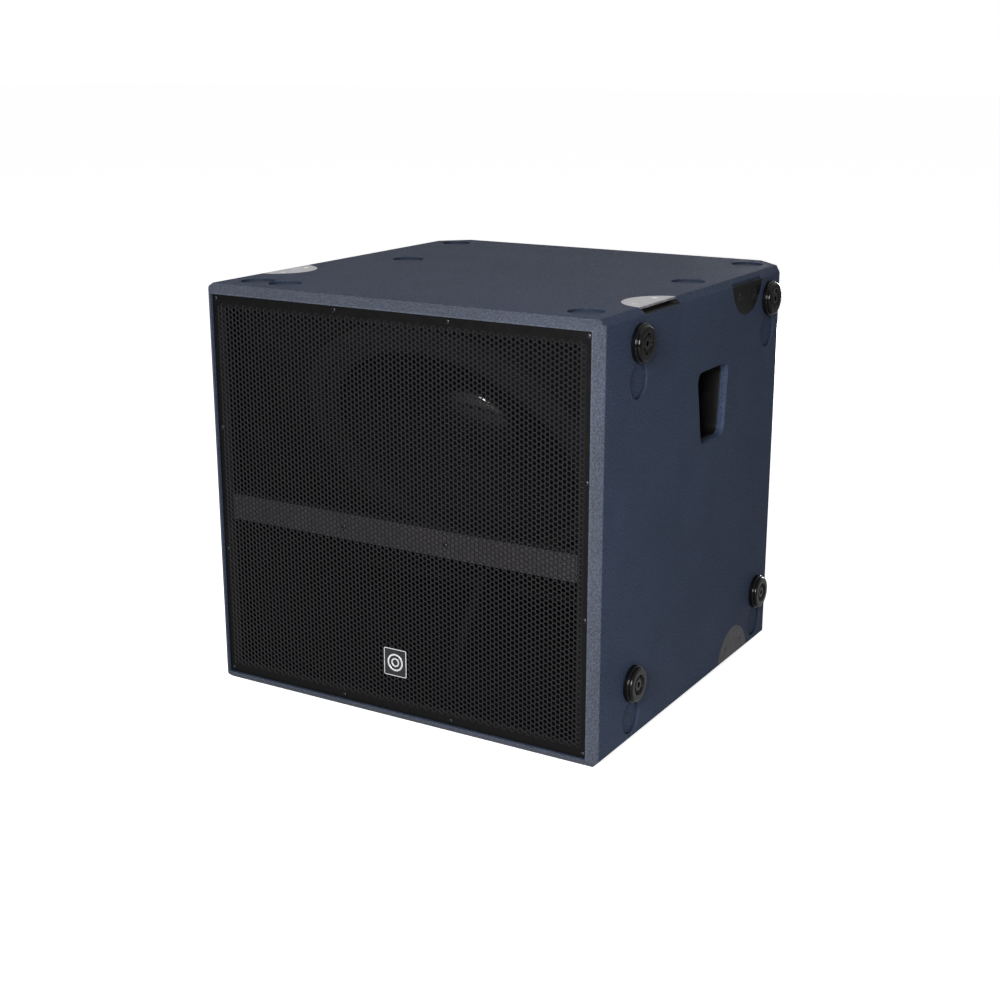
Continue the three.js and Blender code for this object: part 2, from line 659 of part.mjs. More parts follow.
const screwGeometry = toGeometry(grilleScrew());
screwPlaces.forEach(([x, z], i) => {
  const mesh = place(`grille_screw_${String(i + 1).padStart(2, '0')}`, screwGeometry, blackSteel);
  mesh.position.set(x, GRILLE_SETBACK, z);
  mesh.rotation.x = Math.PI / 2;
});

const plateGeometry = toGeometry(plateBody());
for (const seat of plateSeats) {
  const mesh = place(seat.name, plateGeometry, brightSteel);
  mesh.applyMatrix4(seatMatrix(seat));
}

const puck = puckGeometry();
for (const [side, sign] of [['left', -1], ['right', 1]]) {
  for (const [end, y] of [['front', PUCK_FRONT_Y], ['rear', puckRearY]]) {
    for (const [level, z] of [['upper', puckUpperZ], ['lower', PUCK_LOWER_Z]]) {
      const mesh = place(`side_puck_${end}_${level}_${side}`, puck, rubber);
      mesh.position.set(sign * halfWidth, y, z);
      mesh.rotation.y = sign * Math.PI / 2;
    }
    const foot = place(`foot_${end}_${side}`, puck, rubber);
    foot.position.set(sign * footX, end === 'front' ? FOOT_FRONT_Y : footRearY, 0);
    foot.rotation.x = Math.PI;
  }
  place(`handle_cup_${side}`, handleCup(sign), blackPlastic);
  const socket = place(`socket_${side}`, socketGeometry(), blackPlastic);
  socket.position.set(sign * SOCKET_X, DEPTH - DISH_DEPTH + DISH_WALL, DISH_Z);
  socket.rotation.x = -Math.PI / 2;
}
place('connector_dish', connectorDish(), blackPlastic);
place('speaker_cable', cable(), cableSkin);

cabinet.add(driver);
place('driver_basket', basket(), castMetal, driver);
place('motor_top_plate', ring(coilOuter + 2, 90, plateBottom, plateTop, 32), blackSteel, driver);
place('motor_magnet', ring(60, 102, magnetBottom, magnetTop, 32), ferrite, driver);
place('motor_back_plate', backPlate(), blackSteel, driver);
const coilBottom = plateBottom - TRAVEL_ROOM;
place('voice_coil', ring(coilInner, coilOuter, coilBottom, coneNeckZ + 2, 32), copper, driver);
const spiderRing = ring(coilOuter + SEAM, SPIDER_R, spiderZ + SEAM, spiderZ + 1.8, 32);
place('spider', spiderRing, cloth, driver);
place('cone', cone(), paper, driver);
place('dust_cap', dustCap(), paper, driver);
place('surround', surround(), rubber, driver);

const subwoofer = new THREE.Group();
subwoofer.add(cabinet);
export default subwoofer;
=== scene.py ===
"""Compact subwoofer cabinet: painted shell, perforated grille, pucks, edge plates, handles and driver."""

import json
import math

import bmesh
import bpy
from mathutils import Matrix, Vector

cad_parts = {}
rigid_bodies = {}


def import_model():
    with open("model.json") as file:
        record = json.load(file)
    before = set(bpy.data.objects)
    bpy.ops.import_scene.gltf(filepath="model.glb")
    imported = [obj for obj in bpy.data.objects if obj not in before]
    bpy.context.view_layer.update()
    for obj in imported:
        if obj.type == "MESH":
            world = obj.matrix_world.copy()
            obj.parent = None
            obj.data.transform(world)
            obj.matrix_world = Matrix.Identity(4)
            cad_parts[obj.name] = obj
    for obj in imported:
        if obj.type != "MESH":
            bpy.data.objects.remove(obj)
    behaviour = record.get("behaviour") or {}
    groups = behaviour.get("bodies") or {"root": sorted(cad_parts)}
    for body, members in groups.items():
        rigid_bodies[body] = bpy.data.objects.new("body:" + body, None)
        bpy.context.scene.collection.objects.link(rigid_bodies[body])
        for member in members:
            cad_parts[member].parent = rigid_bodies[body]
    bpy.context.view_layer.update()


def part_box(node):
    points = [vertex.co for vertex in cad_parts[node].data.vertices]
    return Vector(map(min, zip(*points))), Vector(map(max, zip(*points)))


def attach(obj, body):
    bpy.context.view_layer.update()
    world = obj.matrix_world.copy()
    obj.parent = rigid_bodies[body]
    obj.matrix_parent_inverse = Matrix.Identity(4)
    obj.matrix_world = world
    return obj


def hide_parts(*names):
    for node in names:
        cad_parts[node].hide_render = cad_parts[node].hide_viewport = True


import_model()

# ---------- sizes, in millimetres in the cabinet's own frame ----------
# x runs across from the middle, y back from the front face, z up from the underside.
MM = 0.001
SHELL_LOW, SHELL_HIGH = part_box("bottom_panel")[0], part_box("top_panel")[1]
WIDTH = (SHELL_HIGH.x - SHELL_LOW.x) / MM
DEPTH = (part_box("rear_panel")[1].y - SHELL_LOW.y) / MM
HEIGHT = (SHELL_HIGH.z - SHELL_LOW.z) / MM
HALF = WIDTH / 2
PLY = 15
FRONT_CHAMFER = 12
LONG_CHAMFER = 8.5
REAR_CHAMFER = 47
RIM = 13.2
FRONT_REBATE = 6.3
GRILLE_FRONT = 4
GRILLE_GAP = 0.4
GRILLE_SHEET = 2
HOLE_PITCH = 6.9
HOLE_FLATS = 5.35
PUCK_FRONT_Y = 100
PUCK_REAR_Y = DEPTH - 88
PUCK_UPPER_Z = HEIGHT - 40.5
PUCK_LOWER_Z = 84
POCKET_R = 23
POCKET_DEPTH = 3
POCKET_PITCH = 46.5
FOOT_X = HALF - 50
FOOT_FRONT_Y = 56
FOOT_REAR_Y = DEPTH - 49
MID_POCKET_Y = 348
PLATE_R = 53
PLATE_THICK = 3
PLATE_FRONT_Y = 166
PLATE_REAR_Y = DEPTH - 167
PLATE_SCREW_IN = LONG_CHAMFER + 17.3
PLATE_SCREW_OUT = 27
HANDLE = [(279, HEIGHT - 111), (380, HEIGHT - 111), (370, HEIGHT - 209), (297, HEIGHT - 209)]
CUP_DEPTH = 70
DISH_WIDE, DISH_TALL, DISH_DEEP, DISH_LEVEL = 161, 101, 44, 283
DISH_FLANGE = 12
DISH_CLEARANCE = 0.6
SOCKET_X = 32
RAIL_LOW, RAIL_HIGH = 242, 277
RAIL_SCREW_X = 80
DRIVER_Y = 164
DRIVER_DROP = 228
DRIVER_TILT = math.radians(32)


def cab(x, y, z):
    """A place in the cabinet's frame, in metres in the scene."""
    return Vector((x * MM, SHELL_LOW.y + y * MM, SHELL_LOW.z + z * MM))


def seat(origin, across, out):
    """A local frame in millimetres: local x along 'across', local z along 'out'."""
    x, z = Vector(across), Vector(out)
    turn = Matrix((x, z.cross(x), z)).transposed() * MM
    return Matrix.Translation(origin) @ turn.to_4x4()


CABINET = seat(cab(0, 0, 0), (1, 0, 0), (0, 0, 1))
DRIVER = seat(cab(0, DRIVER_Y, HEIGHT - DRIVER_DROP), (1, 0, 0),
              (0, -math.cos(DRIVER_TILT), -math.sin(DRIVER_TILT)))


# ---------- shader maths ----------
class Value:
    """A shader socket that takes part in Python arithmetic by adding Math nodes."""

    def __init__(self, finish, socket):
        self.finish = finish
        self.socket = socket

    def _math(self, operation, first, second):
        return self.finish.node("ShaderNodeMath", {"operation": operation}, {0: first, 1: second})

    def __add__(self, other):
        return self._math("ADD", self, other)

    def __sub__(self, other):
        return self._math("SUBTRACT", self, other)

    def __mul__(self, other):
        return self._math("MULTIPLY", self, other)


class Finish:
    """One material and the nodes that make it."""

    def __init__(self, name, colour=(0.8, 0.8, 0.8), roughness=0.5, metallic=0.0, **sockets):
        self.material = bpy.data.materials.new(name)
        self.material.use_nodes = True
        self.tree = self.material.node_tree
        self.shader = self.tree.nodes["Principled BSDF"]
        self.set(**{"Base Color": (*colour, 1), "Roughness": roughness, "Metallic": metallic})
        self.set(**sockets)
        self.material.diffuse_color = (*colour, 1)

    def node(self, kind, settings, values, output=0):
        """Any node: its type, its settings, and the values or links of its sockets."""
        made = self.tree.nodes.new(kind)
        for key, setting in settings.items():
            setattr(made, key, setting)
        for key, value in values.items():
            self._feed(made.inputs[key], value)
        return Value(self, made.outputs[output])

    def _feed(self, socket, value):
        if isinstance(value, Value):
            self.tree.links.new(value.socket, socket)
        else:
            socket.default_value = value

    def set(self, **sockets):
        """Feeds the shader's own sockets; an underscore in a name stands for a space."""
        for name, value in sockets.items():
            self._feed(self.shader.inputs[name.replace("_", " ")], value)

    def place(self):
        """The piece's own coordinates."""
        return self.node("ShaderNodeTexCoord", {}, {}, "Object")

    def noise(self, scale, detail=2.0, rough=0.5, place=None):
        return self.node("ShaderNodeTexNoise", {}, {
            "Vector": place or self.place(), "Scale": scale, "Detail": detail, "Roughness": rough}, 0)

    def step(self, value, low, high, out_low=0.0, out_high=1.0):
        """Value spread from low..high to out_low..out_high with soft ends."""
        return self.node("ShaderNodeMapRange", {"interpolation_type": "SMOOTHSTEP"}, {
            "Value": value, "From Min": low, "From Max": high, "To Min": out_low, "To Max": out_high})

    def blend(self, factor, first, second):
        """Mixes two colours."""
        return self.node("ShaderNodeMix", {"data_type": "RGBA"}, {
            0: factor, 6: (*first, 1), 7: (*second, 1)}, 2)

    def bump(self, height, distance, strength=1.0):
        self.set(Normal=self.node("ShaderNodeBump", {}, {
            "Height": height, "Distance": distance, "Strength": strength}))


# Low indices keep dark coats dark where they are seen at a slant.
PAINT_IOR, POROUS_IOR, SATIN_IOR = 1.13, 1.15, 1.22


def tint(colour, factor):
    """The colour made darker or lighter."""
    return tuple(c * factor for c in colour)


def textured_paint(name, colour, roughness=0.62):
    """Sprayed structure paint: fine hard grain, a little cloudiness, low sheen."""
    paint = Finish(name, colour, roughness, IOR=PAINT_IOR)
    lumps = paint.noise(380, 1.0, 0.5)
    grain = paint.noise(800, 2.0, 0.6)
    cloud = paint.noise(9, 3.0, 0.6)
    height = lumps * 0.65 + grain * 0.35
    tone = paint.step(cloud, 0.3, 0.7, 0.93, 1.07) * paint.step(height, 0.36, 0.64, 0.78, 1.24)
    paint.set(Base_Color=paint.blend(tone - 0.5, tint(colour, 0.5), tint(colour, 1.5)))
    paint.set(Roughness=paint.step(grain, 0.3, 0.7, roughness - 0.08, roughness + 0.1))
    paint.bump(height, 0.0022, 1.0)
    return paint.material


def powder_coat(name, colour, roughness, ior=SATIN_IOR):
    """Satin powder coat on sheet steel."""
    coat = Finish(name, colour, roughness, IOR=ior)
    coat.set(Roughness=coat.step(coat.noise(90, 2), 0.3, 0.7, roughness - 0.05, roughness + 0.07))
    coat.bump(coat.noise(1400, 1.0), 0.0002, 0.35)
    return coat.material


def bare_metal(name, colour, roughness, wear=0.5):
    """Plated or rolled steel with a faint mottle and rubbed patches."""
    metal = Finish(name, colour, roughness, 1.0)
    patch = metal.noise(45, 4.0, 0.65)
    fine = metal.noise(420, 2.0)
    metal.set(Base_Color=metal.blend(metal.step(patch, 0.3, 0.75), tint(colour, 1.0 - 0.3 * wear),
                                     tint(colour, 1.0 + 0.12 * wear)))
    metal.set(Roughness=metal.step(patch, 0.25, 0.75, roughness - 0.1 * wear, roughness + 0.16 * wear))
    metal.bump(fine, 0.00015, 0.4)
    return metal.material


def moulded(name, colour, roughness, grain=0.3, scale=900, ior=SATIN_IOR):
    """Moulded plastic or rubber with a fine surface."""
    skin = Finish(name, colour, roughness, IOR=ior)
    skin.set(Roughness=skin.step(skin.noise(30, 3), 0.3, 0.7, roughness - 0.05, roughness + 0.08))
    skin.bump(skin.noise(scale, 2.0), 0.0002, grain)
    return skin.material


def stained_wood(name, colour):
    """Plywood under a thin dark stain, with long grain across the cabinet."""
    wood = Finish(name, colour, 0.75, IOR=POROUS_IOR)
    grain_place = wood.node("ShaderNodeMapping", {}, {"Vector": wood.place(), "Scale": (3, 60, 60)})
    grain = wood.noise(5, 4.0, 0.6, grain_place)
    wood.set(Base_Color=wood.blend(wood.step(grain, 0.3, 0.7), tint(colour, 0.7), tint(colour, 1.5)))
    wood.bump(grain, 0.0006, 0.4)
    return wood.material


def pressed_paper(name, colour):
    """Coated paper cone with long felted fibres."""
    pulp = Finish(name, colour, 0.7, IOR=POROUS_IOR)
    fibre = pulp.noise(260, 5.0, 0.7)
    pulp.set(Base_Color=pulp.blend(pulp.step(fibre, 0.35, 0.7), tint(colour, 0.75), tint(colour, 1.5)))
    pulp.bump(fibre, 0.0004, 0.5)
    return pulp.material


def woven(name, colour, pitch=0.0009):
    """Treated cloth, seen as a fine over-and-under weave."""
    cloth = Finish(name, colour, 0.85, IOR=POROUS_IOR)
    waves = [cloth.node("ShaderNodeTexWave", {"bands_direction": axis}, {
        "Vector": cloth.place(), "Scale": 0.314 / pitch, "Distortion": 0.3}, 1) for axis in "XZ"]
    weave = waves[0] * waves[1]
    cloth.set(Base_Color=cloth.blend(weave, tint(colour, 0.7), tint(colour, 1.3)))
    cloth.bump(weave, 0.0003, 0.5)
    return cloth.material


# ---------- finishes ----------
slate_paint = textured_paint("slate_structure_paint", (0.0245, 0.034, 0.0585))
# Lighter paint for the front edges and rim: a painted highlight where the light catches them.
front_edge_painted_highlight_paint = textured_paint("rubbed_front_edge_paint", (0.039, 0.0445, 0.059))
rail_paint = textured_paint("front_frame_paint", (0.018, 0.0165, 0.019), 0.6)
# The punched field is coloured lighter than the plain border of the same sheet: painted highlight on the
# webs.
grille_coat_with_painted_highlight = powder_coat("grille_black_coat", (0.0095, 0.0095, 0.0105), 0.34, 1.2)
border_coat = powder_coat("grille_border_coat", (0.002, 0.002, 0.0022), 0.42, 1.16)
bright_steel = bare_metal("zinc_plate", (0.34, 0.33, 0.35), 0.45, 1.0)
# The rear edge plates are the same plates as the zinc top ones, coloured black and grey as painted shade.
plate_black_as_painted_shade = moulded("black_coated_plate", (0.0015, 0.0015, 0.0018), 0.3, 0.03, ior=1.16)
plate_grey_as_painted_shade = bare_metal("phosphated_steel_plate", (0.060, 0.056, 0.064), 0.5, 0.9)
screw_black = bare_metal("blackened_screw_steel", (0.022, 0.022, 0.024), 0.32)
screw_bright = bare_metal("zinc_screw_steel", (0.55, 0.56, 0.57), 0.3)
puck_rubber = moulded("puck_rubber", (0.002, 0.002, 0.0023), 0.15, 0.05)
black_plastic = moulded("black_plastic", (0.003, 0.003, 0.0033), 0.42)
socket_plastic = moulded("socket_plastic", (0.022, 0.023, 0.026), 0.3, 0.15)
black_stain = stained_wood("black_stained_ply", (0.003, 0.003, 0.0033))
cast_black = powder_coat("cast_basket_black", (0.008, 0.008, 0.0085), 0.45)
motor_zinc = bare_metal("motor_plate_zinc", (0.42, 0.42, 0.42), 0.4)
ferrite = moulded("ferrite", (0.035, 0.034, 0.036), 0.7, 0.5, 500)
copper = bare_metal("coil_copper", (0.72, 0.33, 0.17), 0.35)
cone_pulp = pressed_paper("cone_pulp", (0.0025, 0.0025, 0.003))
cap_gloss = moulded("dust_cap_gloss", (0.006, 0.006, 0.0065), 0.13, 0.05, 900, 1.45)
spider_cloth = woven("spider_cloth", (0.12, 0.085, 0.045))
roll_cloth = woven("surround_cloth", (0.007, 0.007, 0.0075), 0.0007)
cable_skin = moulded("cable_skin", (0.012, 0.012, 0.013), 0.5)
# Darker paint for the pocket walls and rings: painted shade.
pocket_shade = textured_paint("thin_paint_in_pockets", (0.014, 0.019, 0.031), 0.7)
# Black for the slot walls under the top plates: painted shade.
slot_painted_shade_black = moulded("slot_lining", (0.004, 0.004, 0.005), 0.7)
badge_dark = powder_coat("badge_enamel", (0.012, 0.012, 0.014), 0.25)
badge_bright = bare_metal("badge_brushed_edge", (0.75, 0.76, 0.77), 0.28, 0.3)


# ---------- mesh helpers ----------
def piece_from(bm, name, *materials):
    mesh = bpy.data.meshes.new(name)
    bm.to_mesh(mesh)
    bm.free()
    obj = bpy.data.objects.new(name, mesh)
    bpy.context.collection.objects.link(obj)
    for material in materials:
        mesh.materials.append(material)
    return obj


def settle(obj):
    """The evaluated shape becomes the object's own plain mesh, and its modifiers go."""
    depsgraph = bpy.context.evaluated_depsgraph_get()
    mesh = bpy.data.meshes.new_from_object(obj.evaluated_get(depsgraph), depsgraph=depsgraph)
    old = obj.data
    obj.modifiers.clear()
    obj.data = mesh
    bpy.data.meshes.remove(old)
    mesh.name = obj.name
    return obj


def carve(obj, cutter_mesh, *linings, operation="DIFFERENCE"):
    """Cuts a bmesh out of an object, or adds it. Linings are the finishes of the new walls."""
    cutter = piece_from(cutter_mesh, "cutter", *linings)
    change = obj.modifiers.new("carve", "BOOLEAN")
    if linings:
        change.material_mode = "TRANSFER"
    change.object = cutter
    change.operation = operation
    change.solver = "EXACT"
    settle(obj)
    bpy.data.objects.remove(cutter)
    return obj


def weld(obj, distance):
    """Closes the hair cracks that a cut leaves."""
    bm = bmesh.new()
    bm.from_mesh(obj.data)
    bmesh.ops.remove_doubles(bm, verts=bm.verts, dist=distance)
    bm.to_mesh(obj.data)
    bm.free()


def dress(obj, angle=35.0):
    """Smooth shading with sharp edges above an angle and flat faces kept flat."""
    mesh = obj.data
    mesh.polygons.foreach_set("use_smooth", [True] * len(mesh.polygons))
    mesh.set_sharp_from_angle(angle=math.radians(angle))
    weighted = obj.modifiers.new("flat", "WEIGHTED_NORMAL")
    weighted.keep_sharp = True
    weighted.weight = 100
    return settle(obj)


def block(low, high, cuts=()):
    """A box with parts beyond some planes cut off; each plane is a point and an outward direction."""
    bm = bmesh.new()
    bmesh.ops.create_cube(bm, size=1)
    for v in bm.verts:
        v.co = Vector([a + (c + 0.5) * (b - a) for c, a, b in zip(v.co, low, high)])
    for point, outward in cuts:
        everything = bm.verts[:] + bm.edges[:] + bm.faces[:]
        bmesh.ops.bisect_plane(bm, geom=everything, plane_co=point, plane_no=outward,
                               clear_outer=True, dist=1e-4)
        bmesh.ops.holes_fill(bm, edges=bm.edges[:], sides=0)
    bmesh.ops.recalc_face_normals(bm, faces=bm.faces)
    return bm


def soften(bm, width, segments=3):
    """Rounds every edge."""
    bmesh.ops.bevel(bm, geom=bm.edges[:], offset=width, offset_type="OFFSET", segments=segments,
                    profile=0.5, affect="EDGES", clamp_overlap=True)
    return bm


def placed(bm, matrix):
    """Moves a bmesh to its place and keeps its faces outwards."""
    bmesh.ops.transform(bm, matrix=matrix, verts=bm.verts)
    if matrix.determinant() < 0:
        bmesh.ops.reverse_faces(bm, faces=bm.faces)
    return bm


def loft(rings, looped=False, ends=True):
    """A skin through rings of points, closed by its ends or, if looped, by meeting itself."""
    bm = bmesh.new()
    grid = [[bm.verts.new(p) for p in ring] for ring in rings]
    sides = len(grid[0])
    for a, b in zip(grid, grid[1:] + grid[:1] if looped else grid[1:]):
        for i in range(sides):
            bm.faces.new((a[i], a[(i + 1) % sides], b[(i + 1) % sides], b[i]))
    if ends and not looped:
        bm.faces.new(grid[0][::-1])
        bm.faces.new(grid[-1])
    bmesh.ops.remove_doubles(bm, verts=bm.verts, dist=1e-4)
    bmesh.ops.recalc_face_normals(bm, faces=bm.faces)
    return bm


def circle(radius, z, sides=48):
    turns = [i * math.tau / sides for i in range(sides)]
    return [Vector((radius * math.cos(a), radius * math.sin(a), z)) for a in turns]


def turned(profile, sides=48, looped=False):
    """(radius, height) points turned about local z."""
    return loft([circle(max(r, 0.001), z, sides) for r, z in profile], looped)


def arc(centre, radius, start, end, steps):
    """Points on a circle in a profile, angles in degrees."""
    return [(centre[0] + radius * math.cos(math.radians(start + (end - start) * i / steps)),
             centre[1] + radius * math.sin(math.radians(start + (end - start) * i / steps)))
            for i in range(steps + 1)]


def soft_outline(corners, radius, grow=0.0, steps=6):
    """A convex outline with round corners; grow moves it outwards everywhere."""
    count = len(corners)
    middle = sum((Vector(c) for c in corners), Vector((0, 0))) / count
    corners = sorted((Vector(c) for c in corners), key=lambda c: math.atan2(*(c - middle).yx))
    points = []
    for i, corner in enumerate(corners):
        before = (corner - corners[i - 1]).normalized()
        after = (corners[(i + 1) % count] - corner).normalized()
        start, end = Vector((before.y, -before.x)), Vector((after.y, -after.x))
        turn = start.angle(end)
        centre = corner - (start + end).normalized() * radius / math.cos(turn / 2)
        first = math.atan2(start.y, start.x)
        for k in range(steps + 1):
            a = first + turn * k / steps
            points.append(centre + Vector((math.cos(a), math.sin(a))) * (radius + grow))
    return points


def rectangle(width, height):
    """Corners about the middle."""
    return [(-width / 2, -height / 2), (width / 2, -height / 2), (width / 2, height / 2),
            (-width / 2, height / 2)]


def lifted(outline, z):
    """A flat outline as a ring at a height."""
    return [Vector((p[0], p[1], z)) for p in outline]


# ---------- Geometry Nodes: one part set at many places ----------
def scatter_tree():
    """Instances a part on points, turned by their 'turn' attribute."""
    tree = bpy.data.node_groups.new("set_at_places", "GeometryNodeTree")
    face = tree.interface
    face.new_socket("Geometry", in_out="INPUT", socket_type="NodeSocketGeometry")
    face.new_socket("Part", in_out="INPUT", socket_type="NodeSocketObject")
    face.new_socket("Size", in_out="INPUT", socket_type="NodeSocketFloat")
    face.new_socket("Finish", in_out="INPUT", socket_type="NodeSocketMaterial")
    face.new_socket("Geometry", in_out="OUTPUT", socket_type="NodeSocketGeometry")
    new, link = tree.nodes.new, tree.links.new
    given, result = new("NodeGroupInput"), new("NodeGroupOutput")
    part, turn = new("GeometryNodeObjectInfo"), new("GeometryNodeInputNamedAttribute")
    turn.data_type = "FLOAT_VECTOR"
    turn.inputs["Name"].default_value = "turn"
    spread, real = new("GeometryNodeInstanceOnPoints"), new("GeometryNodeRealizeInstances")
    coat = new("GeometryNodeSetMaterial")
    link(given.outputs["Part"], part.inputs["Object"])
    link(given.outputs["Geometry"], spread.inputs["Points"])
    link(part.outputs["Geometry"], spread.inputs["Instance"])
    link(turn.outputs["Attribute"], spread.inputs["Rotation"])
    link(given.outputs["Size"], spread.inputs["Scale"])
    link(spread.outputs["Instances"], real.inputs["Geometry"])
    link(real.outputs["Geometry"], coat.inputs["Geometry"])
    link(given.outputs["Finish"], coat.inputs["Material"])
    link(coat.outputs["Geometry"], result.inputs["Geometry"])
    return tree


def grow_with(obj, tree, **values):
    """Puts a tree on an object, sets its named inputs and settles the result."""
    nodes = obj.modifiers.new("nodes", "NODES")
    nodes.node_group = tree
    for item in tree.interface.items_tree:
        if item.item_type == "SOCKET" and item.in_out == "INPUT" and item.name in values:
            nodes[item.identifier] = values[item.name]
    return settle(obj)


SCATTER = scatter_tree()


def scattered(name, part_mesh, seats, finish, angle=35.0):
    """One piece made of the same part at every seat. The part is in millimetres, local z outwards."""
    part = dress(piece_from(part_mesh, name + "_part", finish), angle)
    carrier = bpy.data.meshes.new(name)
    carrier.from_pydata([m.to_translation() for m in seats], [], [])
    turn = carrier.attributes.new("turn", "FLOAT_VECTOR", "POINT")
    for i, m in enumerate(seats):
        turn.data[i].vector = m.decompose()[1].to_euler()
    obj = bpy.data.objects.new(name, carrier)
    bpy.context.collection.objects.link(obj)
    grow_with(obj, SCATTER, Part=part, Size=MM, Finish=finish)
    bpy.data.objects.remove(part)
    return obj


def fitted(obj, body, slot, *nodes):
    """The piece rides a body and stands for CAD nodes. The slot is not used."""
    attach(obj, body)
    if nodes:
        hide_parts(*nodes)
    return obj


# ---------- places ----------
def side_seat(sign, y, z):
    """A place on a side face, local z outwards."""
    return seat(cab(sign * HALF, y, z), (0, sign, 0), (sign, 0, 0))


PUCK_PLACES = [(y, z) for y in (PUCK_FRONT_Y, PUCK_REAR_Y) for z in (PUCK_UPPER_Z, PUCK_LOWER_Z)]
side_pucks = [side_seat(sign, y, z) for sign in (-1, 1) for y, z in PUCK_PLACES]
side_pockets = [side_seat(sign, y, z - POCKET_PITCH) for sign in (-1, 1) for y, z in PUCK_PLACES]
feet = [seat(cab(sign * FOOT_X, y, 0), (1, 0, 0), (0, 0, -1))
        for sign in (-1, 1) for y in (FOOT_FRONT_Y, FOOT_REAR_Y)]
top_pockets = [seat(cab(x, y, HEIGHT), (1, 0, 0), (0, 0, 1)) for x, y in (
    (-FOOT_X, FOOT_FRONT_Y), (FOOT_X, FOOT_FRONT_Y), (-FOOT_X, FOOT_REAR_Y), (FOOT_X, FOOT_REAR_Y),
    (-FOOT_X + POCKET_PITCH, FOOT_FRONT_Y), (-FOOT_X + POCKET_PITCH, MID_POCKET_Y), (FOOT_X, MID_POCKET_Y))]
# A plate's local x runs inwards from the cabinet's edge, local z out of the face.
top_plates = [seat(cab(s * HALF, PLATE_FRONT_Y, HEIGHT), (-s, 0, 0), (0, 0, 1)) for s in (-1, 1)]
upper_plates = [seat(cab(s * HALF, PLATE_REAR_Y, HEIGHT), (0, 0, -1), (s, 0, 0)) for s in (-1, 1)]
lower_plates = [seat(cab(s * HALF, PLATE_REAR_Y, 0), (0, 0, 1), (s, 0, 0)) for s in (-1, 1)]
rear_seat = seat(cab(0, DEPTH, DISH_LEVEL), (-1, 0, 0), (0, 1, 0))


# ---------- painted shell ----------
def chamfer(point, outward):
    """A cutting plane: a point on it and the direction it faces."""
    return Vector(point), Vector(outward).normalized()


def shell_body():
    """The cabinet's outer block with its cut-off edges; the faces along its front take a lighter paint, a
    painted highlight.
    """
    cuts = [chamfer((0, 0, z), (0, -1, up)) for z, up in
            ((HEIGHT - FRONT_CHAMFER, 1), (FRONT_CHAMFER, -1))]
    cuts += [chamfer((s * (HALF - FRONT_CHAMFER), 0, 0), (s, -1, 0)) for s in (-1, 1)]
    cuts += [chamfer((s * (HALF - LONG_CHAMFER), 0, z), (s, 0, up)) for s in (-1, 1)
             for z, up in ((HEIGHT, 1), (0, -1))]
    cuts += [chamfer((s * (HALF - REAR_CHAMFER), DEPTH, 0), (s, 1, 0)) for s in (-1, 1)]
    body = block((-HALF, 0, 0), (HALF, DEPTH, HEIGHT), cuts)
    body = soften(body, 1.3, 3)
    for face in body.faces:
        # Faces at the front take the lighter paint: painted highlight.
        face.material_index = int(face.calc_center_median().y < FRONT_CHAMFER)
    return piece_from(placed(body, CABINET), "painted_shell", slate_paint, front_edge_painted_highlight_paint)


def pocket_cutter(wide=1.4, deep=0.9):
    """A pocket with a narrow ring at the foot of its wall; the ring and the lower wall take a darker paint, a
    painted shade.
    """
    ring = POCKET_R - wide
    mouth = POCKET_R + 0.22
    floor, low = -POCKET_DEPTH, -POCKET_DEPTH - deep
    bm = turned([(0, floor), (ring, floor), (ring, low), (POCKET_R, low), (POCKET_R, -0.5), (mouth, 0.0),
                 (mouth, 2.0), (0, 2.0)], 64)
    for face in bm.faces:
        middle = face.calc_center_median()
        # The ring and the lower wall take the darker paint: painted shade.
        face.material_index = int(middle.xy.length > ring - 0.1 and middle.z < -0.5)
    return bm


def plate_outline(shrink=0.0, straight=LONG_CHAMFER + 0.3, radius=PLATE_R, steps=40):
    """The D outline: an arc about the cabinet's edge line, closed by a straight side."""
    radius, straight = radius - shrink, straight + shrink
    reach = math.acos(straight / radius)
    return [Vector((radius * math.cos(reach * (2 * i / steps - 1)),
                    radius * math.sin(reach * (2 * i / steps - 1)))) for i in range(steps + 1)]


def plate_recess():
    """The bed of an edge plate, cut through to the cabinet's edge."""
    outline = plate_outline(-0.3, -2)
    return loft([lifted(outline, -PLATE_THICK - 0.3), lifted(outline, 2)])


def plate_slot():
    """The slot under a top plate, where a hook takes hold."""
    half = math.sqrt(PLATE_R ** 2 - LONG_CHAMFER ** 2) - 2
    return block((-2, -half, -PLATE_THICK - 5.3), (LONG_CHAMFER + 8, half, 1.2))


def handle_frame(sign):
    """Local x back along the cabinet, local y up, local z out of the side, in millimetres."""
    origin = cab(sign * HALF, 0, 0)
    turn = Matrix(((0, 0, sign), (1, 0, 0), (0, 1, 0))) * MM
    return Matrix.Translation(origin) @ turn.to_4x4()


def handle_hole():
    """The cut-out in a side panel, with a rounded outer edge."""
    rings = [(0.0, -PLY - 1), (0.0, -PLY + 2), (0.0, -3.5), (0.35, -1.9), (1.2, -0.7), (2.6, 0.0), (2.6, 2.0)]
    return loft([lifted(soft_outline(HANDLE, 12, grow), z) for grow, z in rings])


def dish_rectangle(more):
    return rectangle(DISH_WIDE + more, DISH_TALL + more)


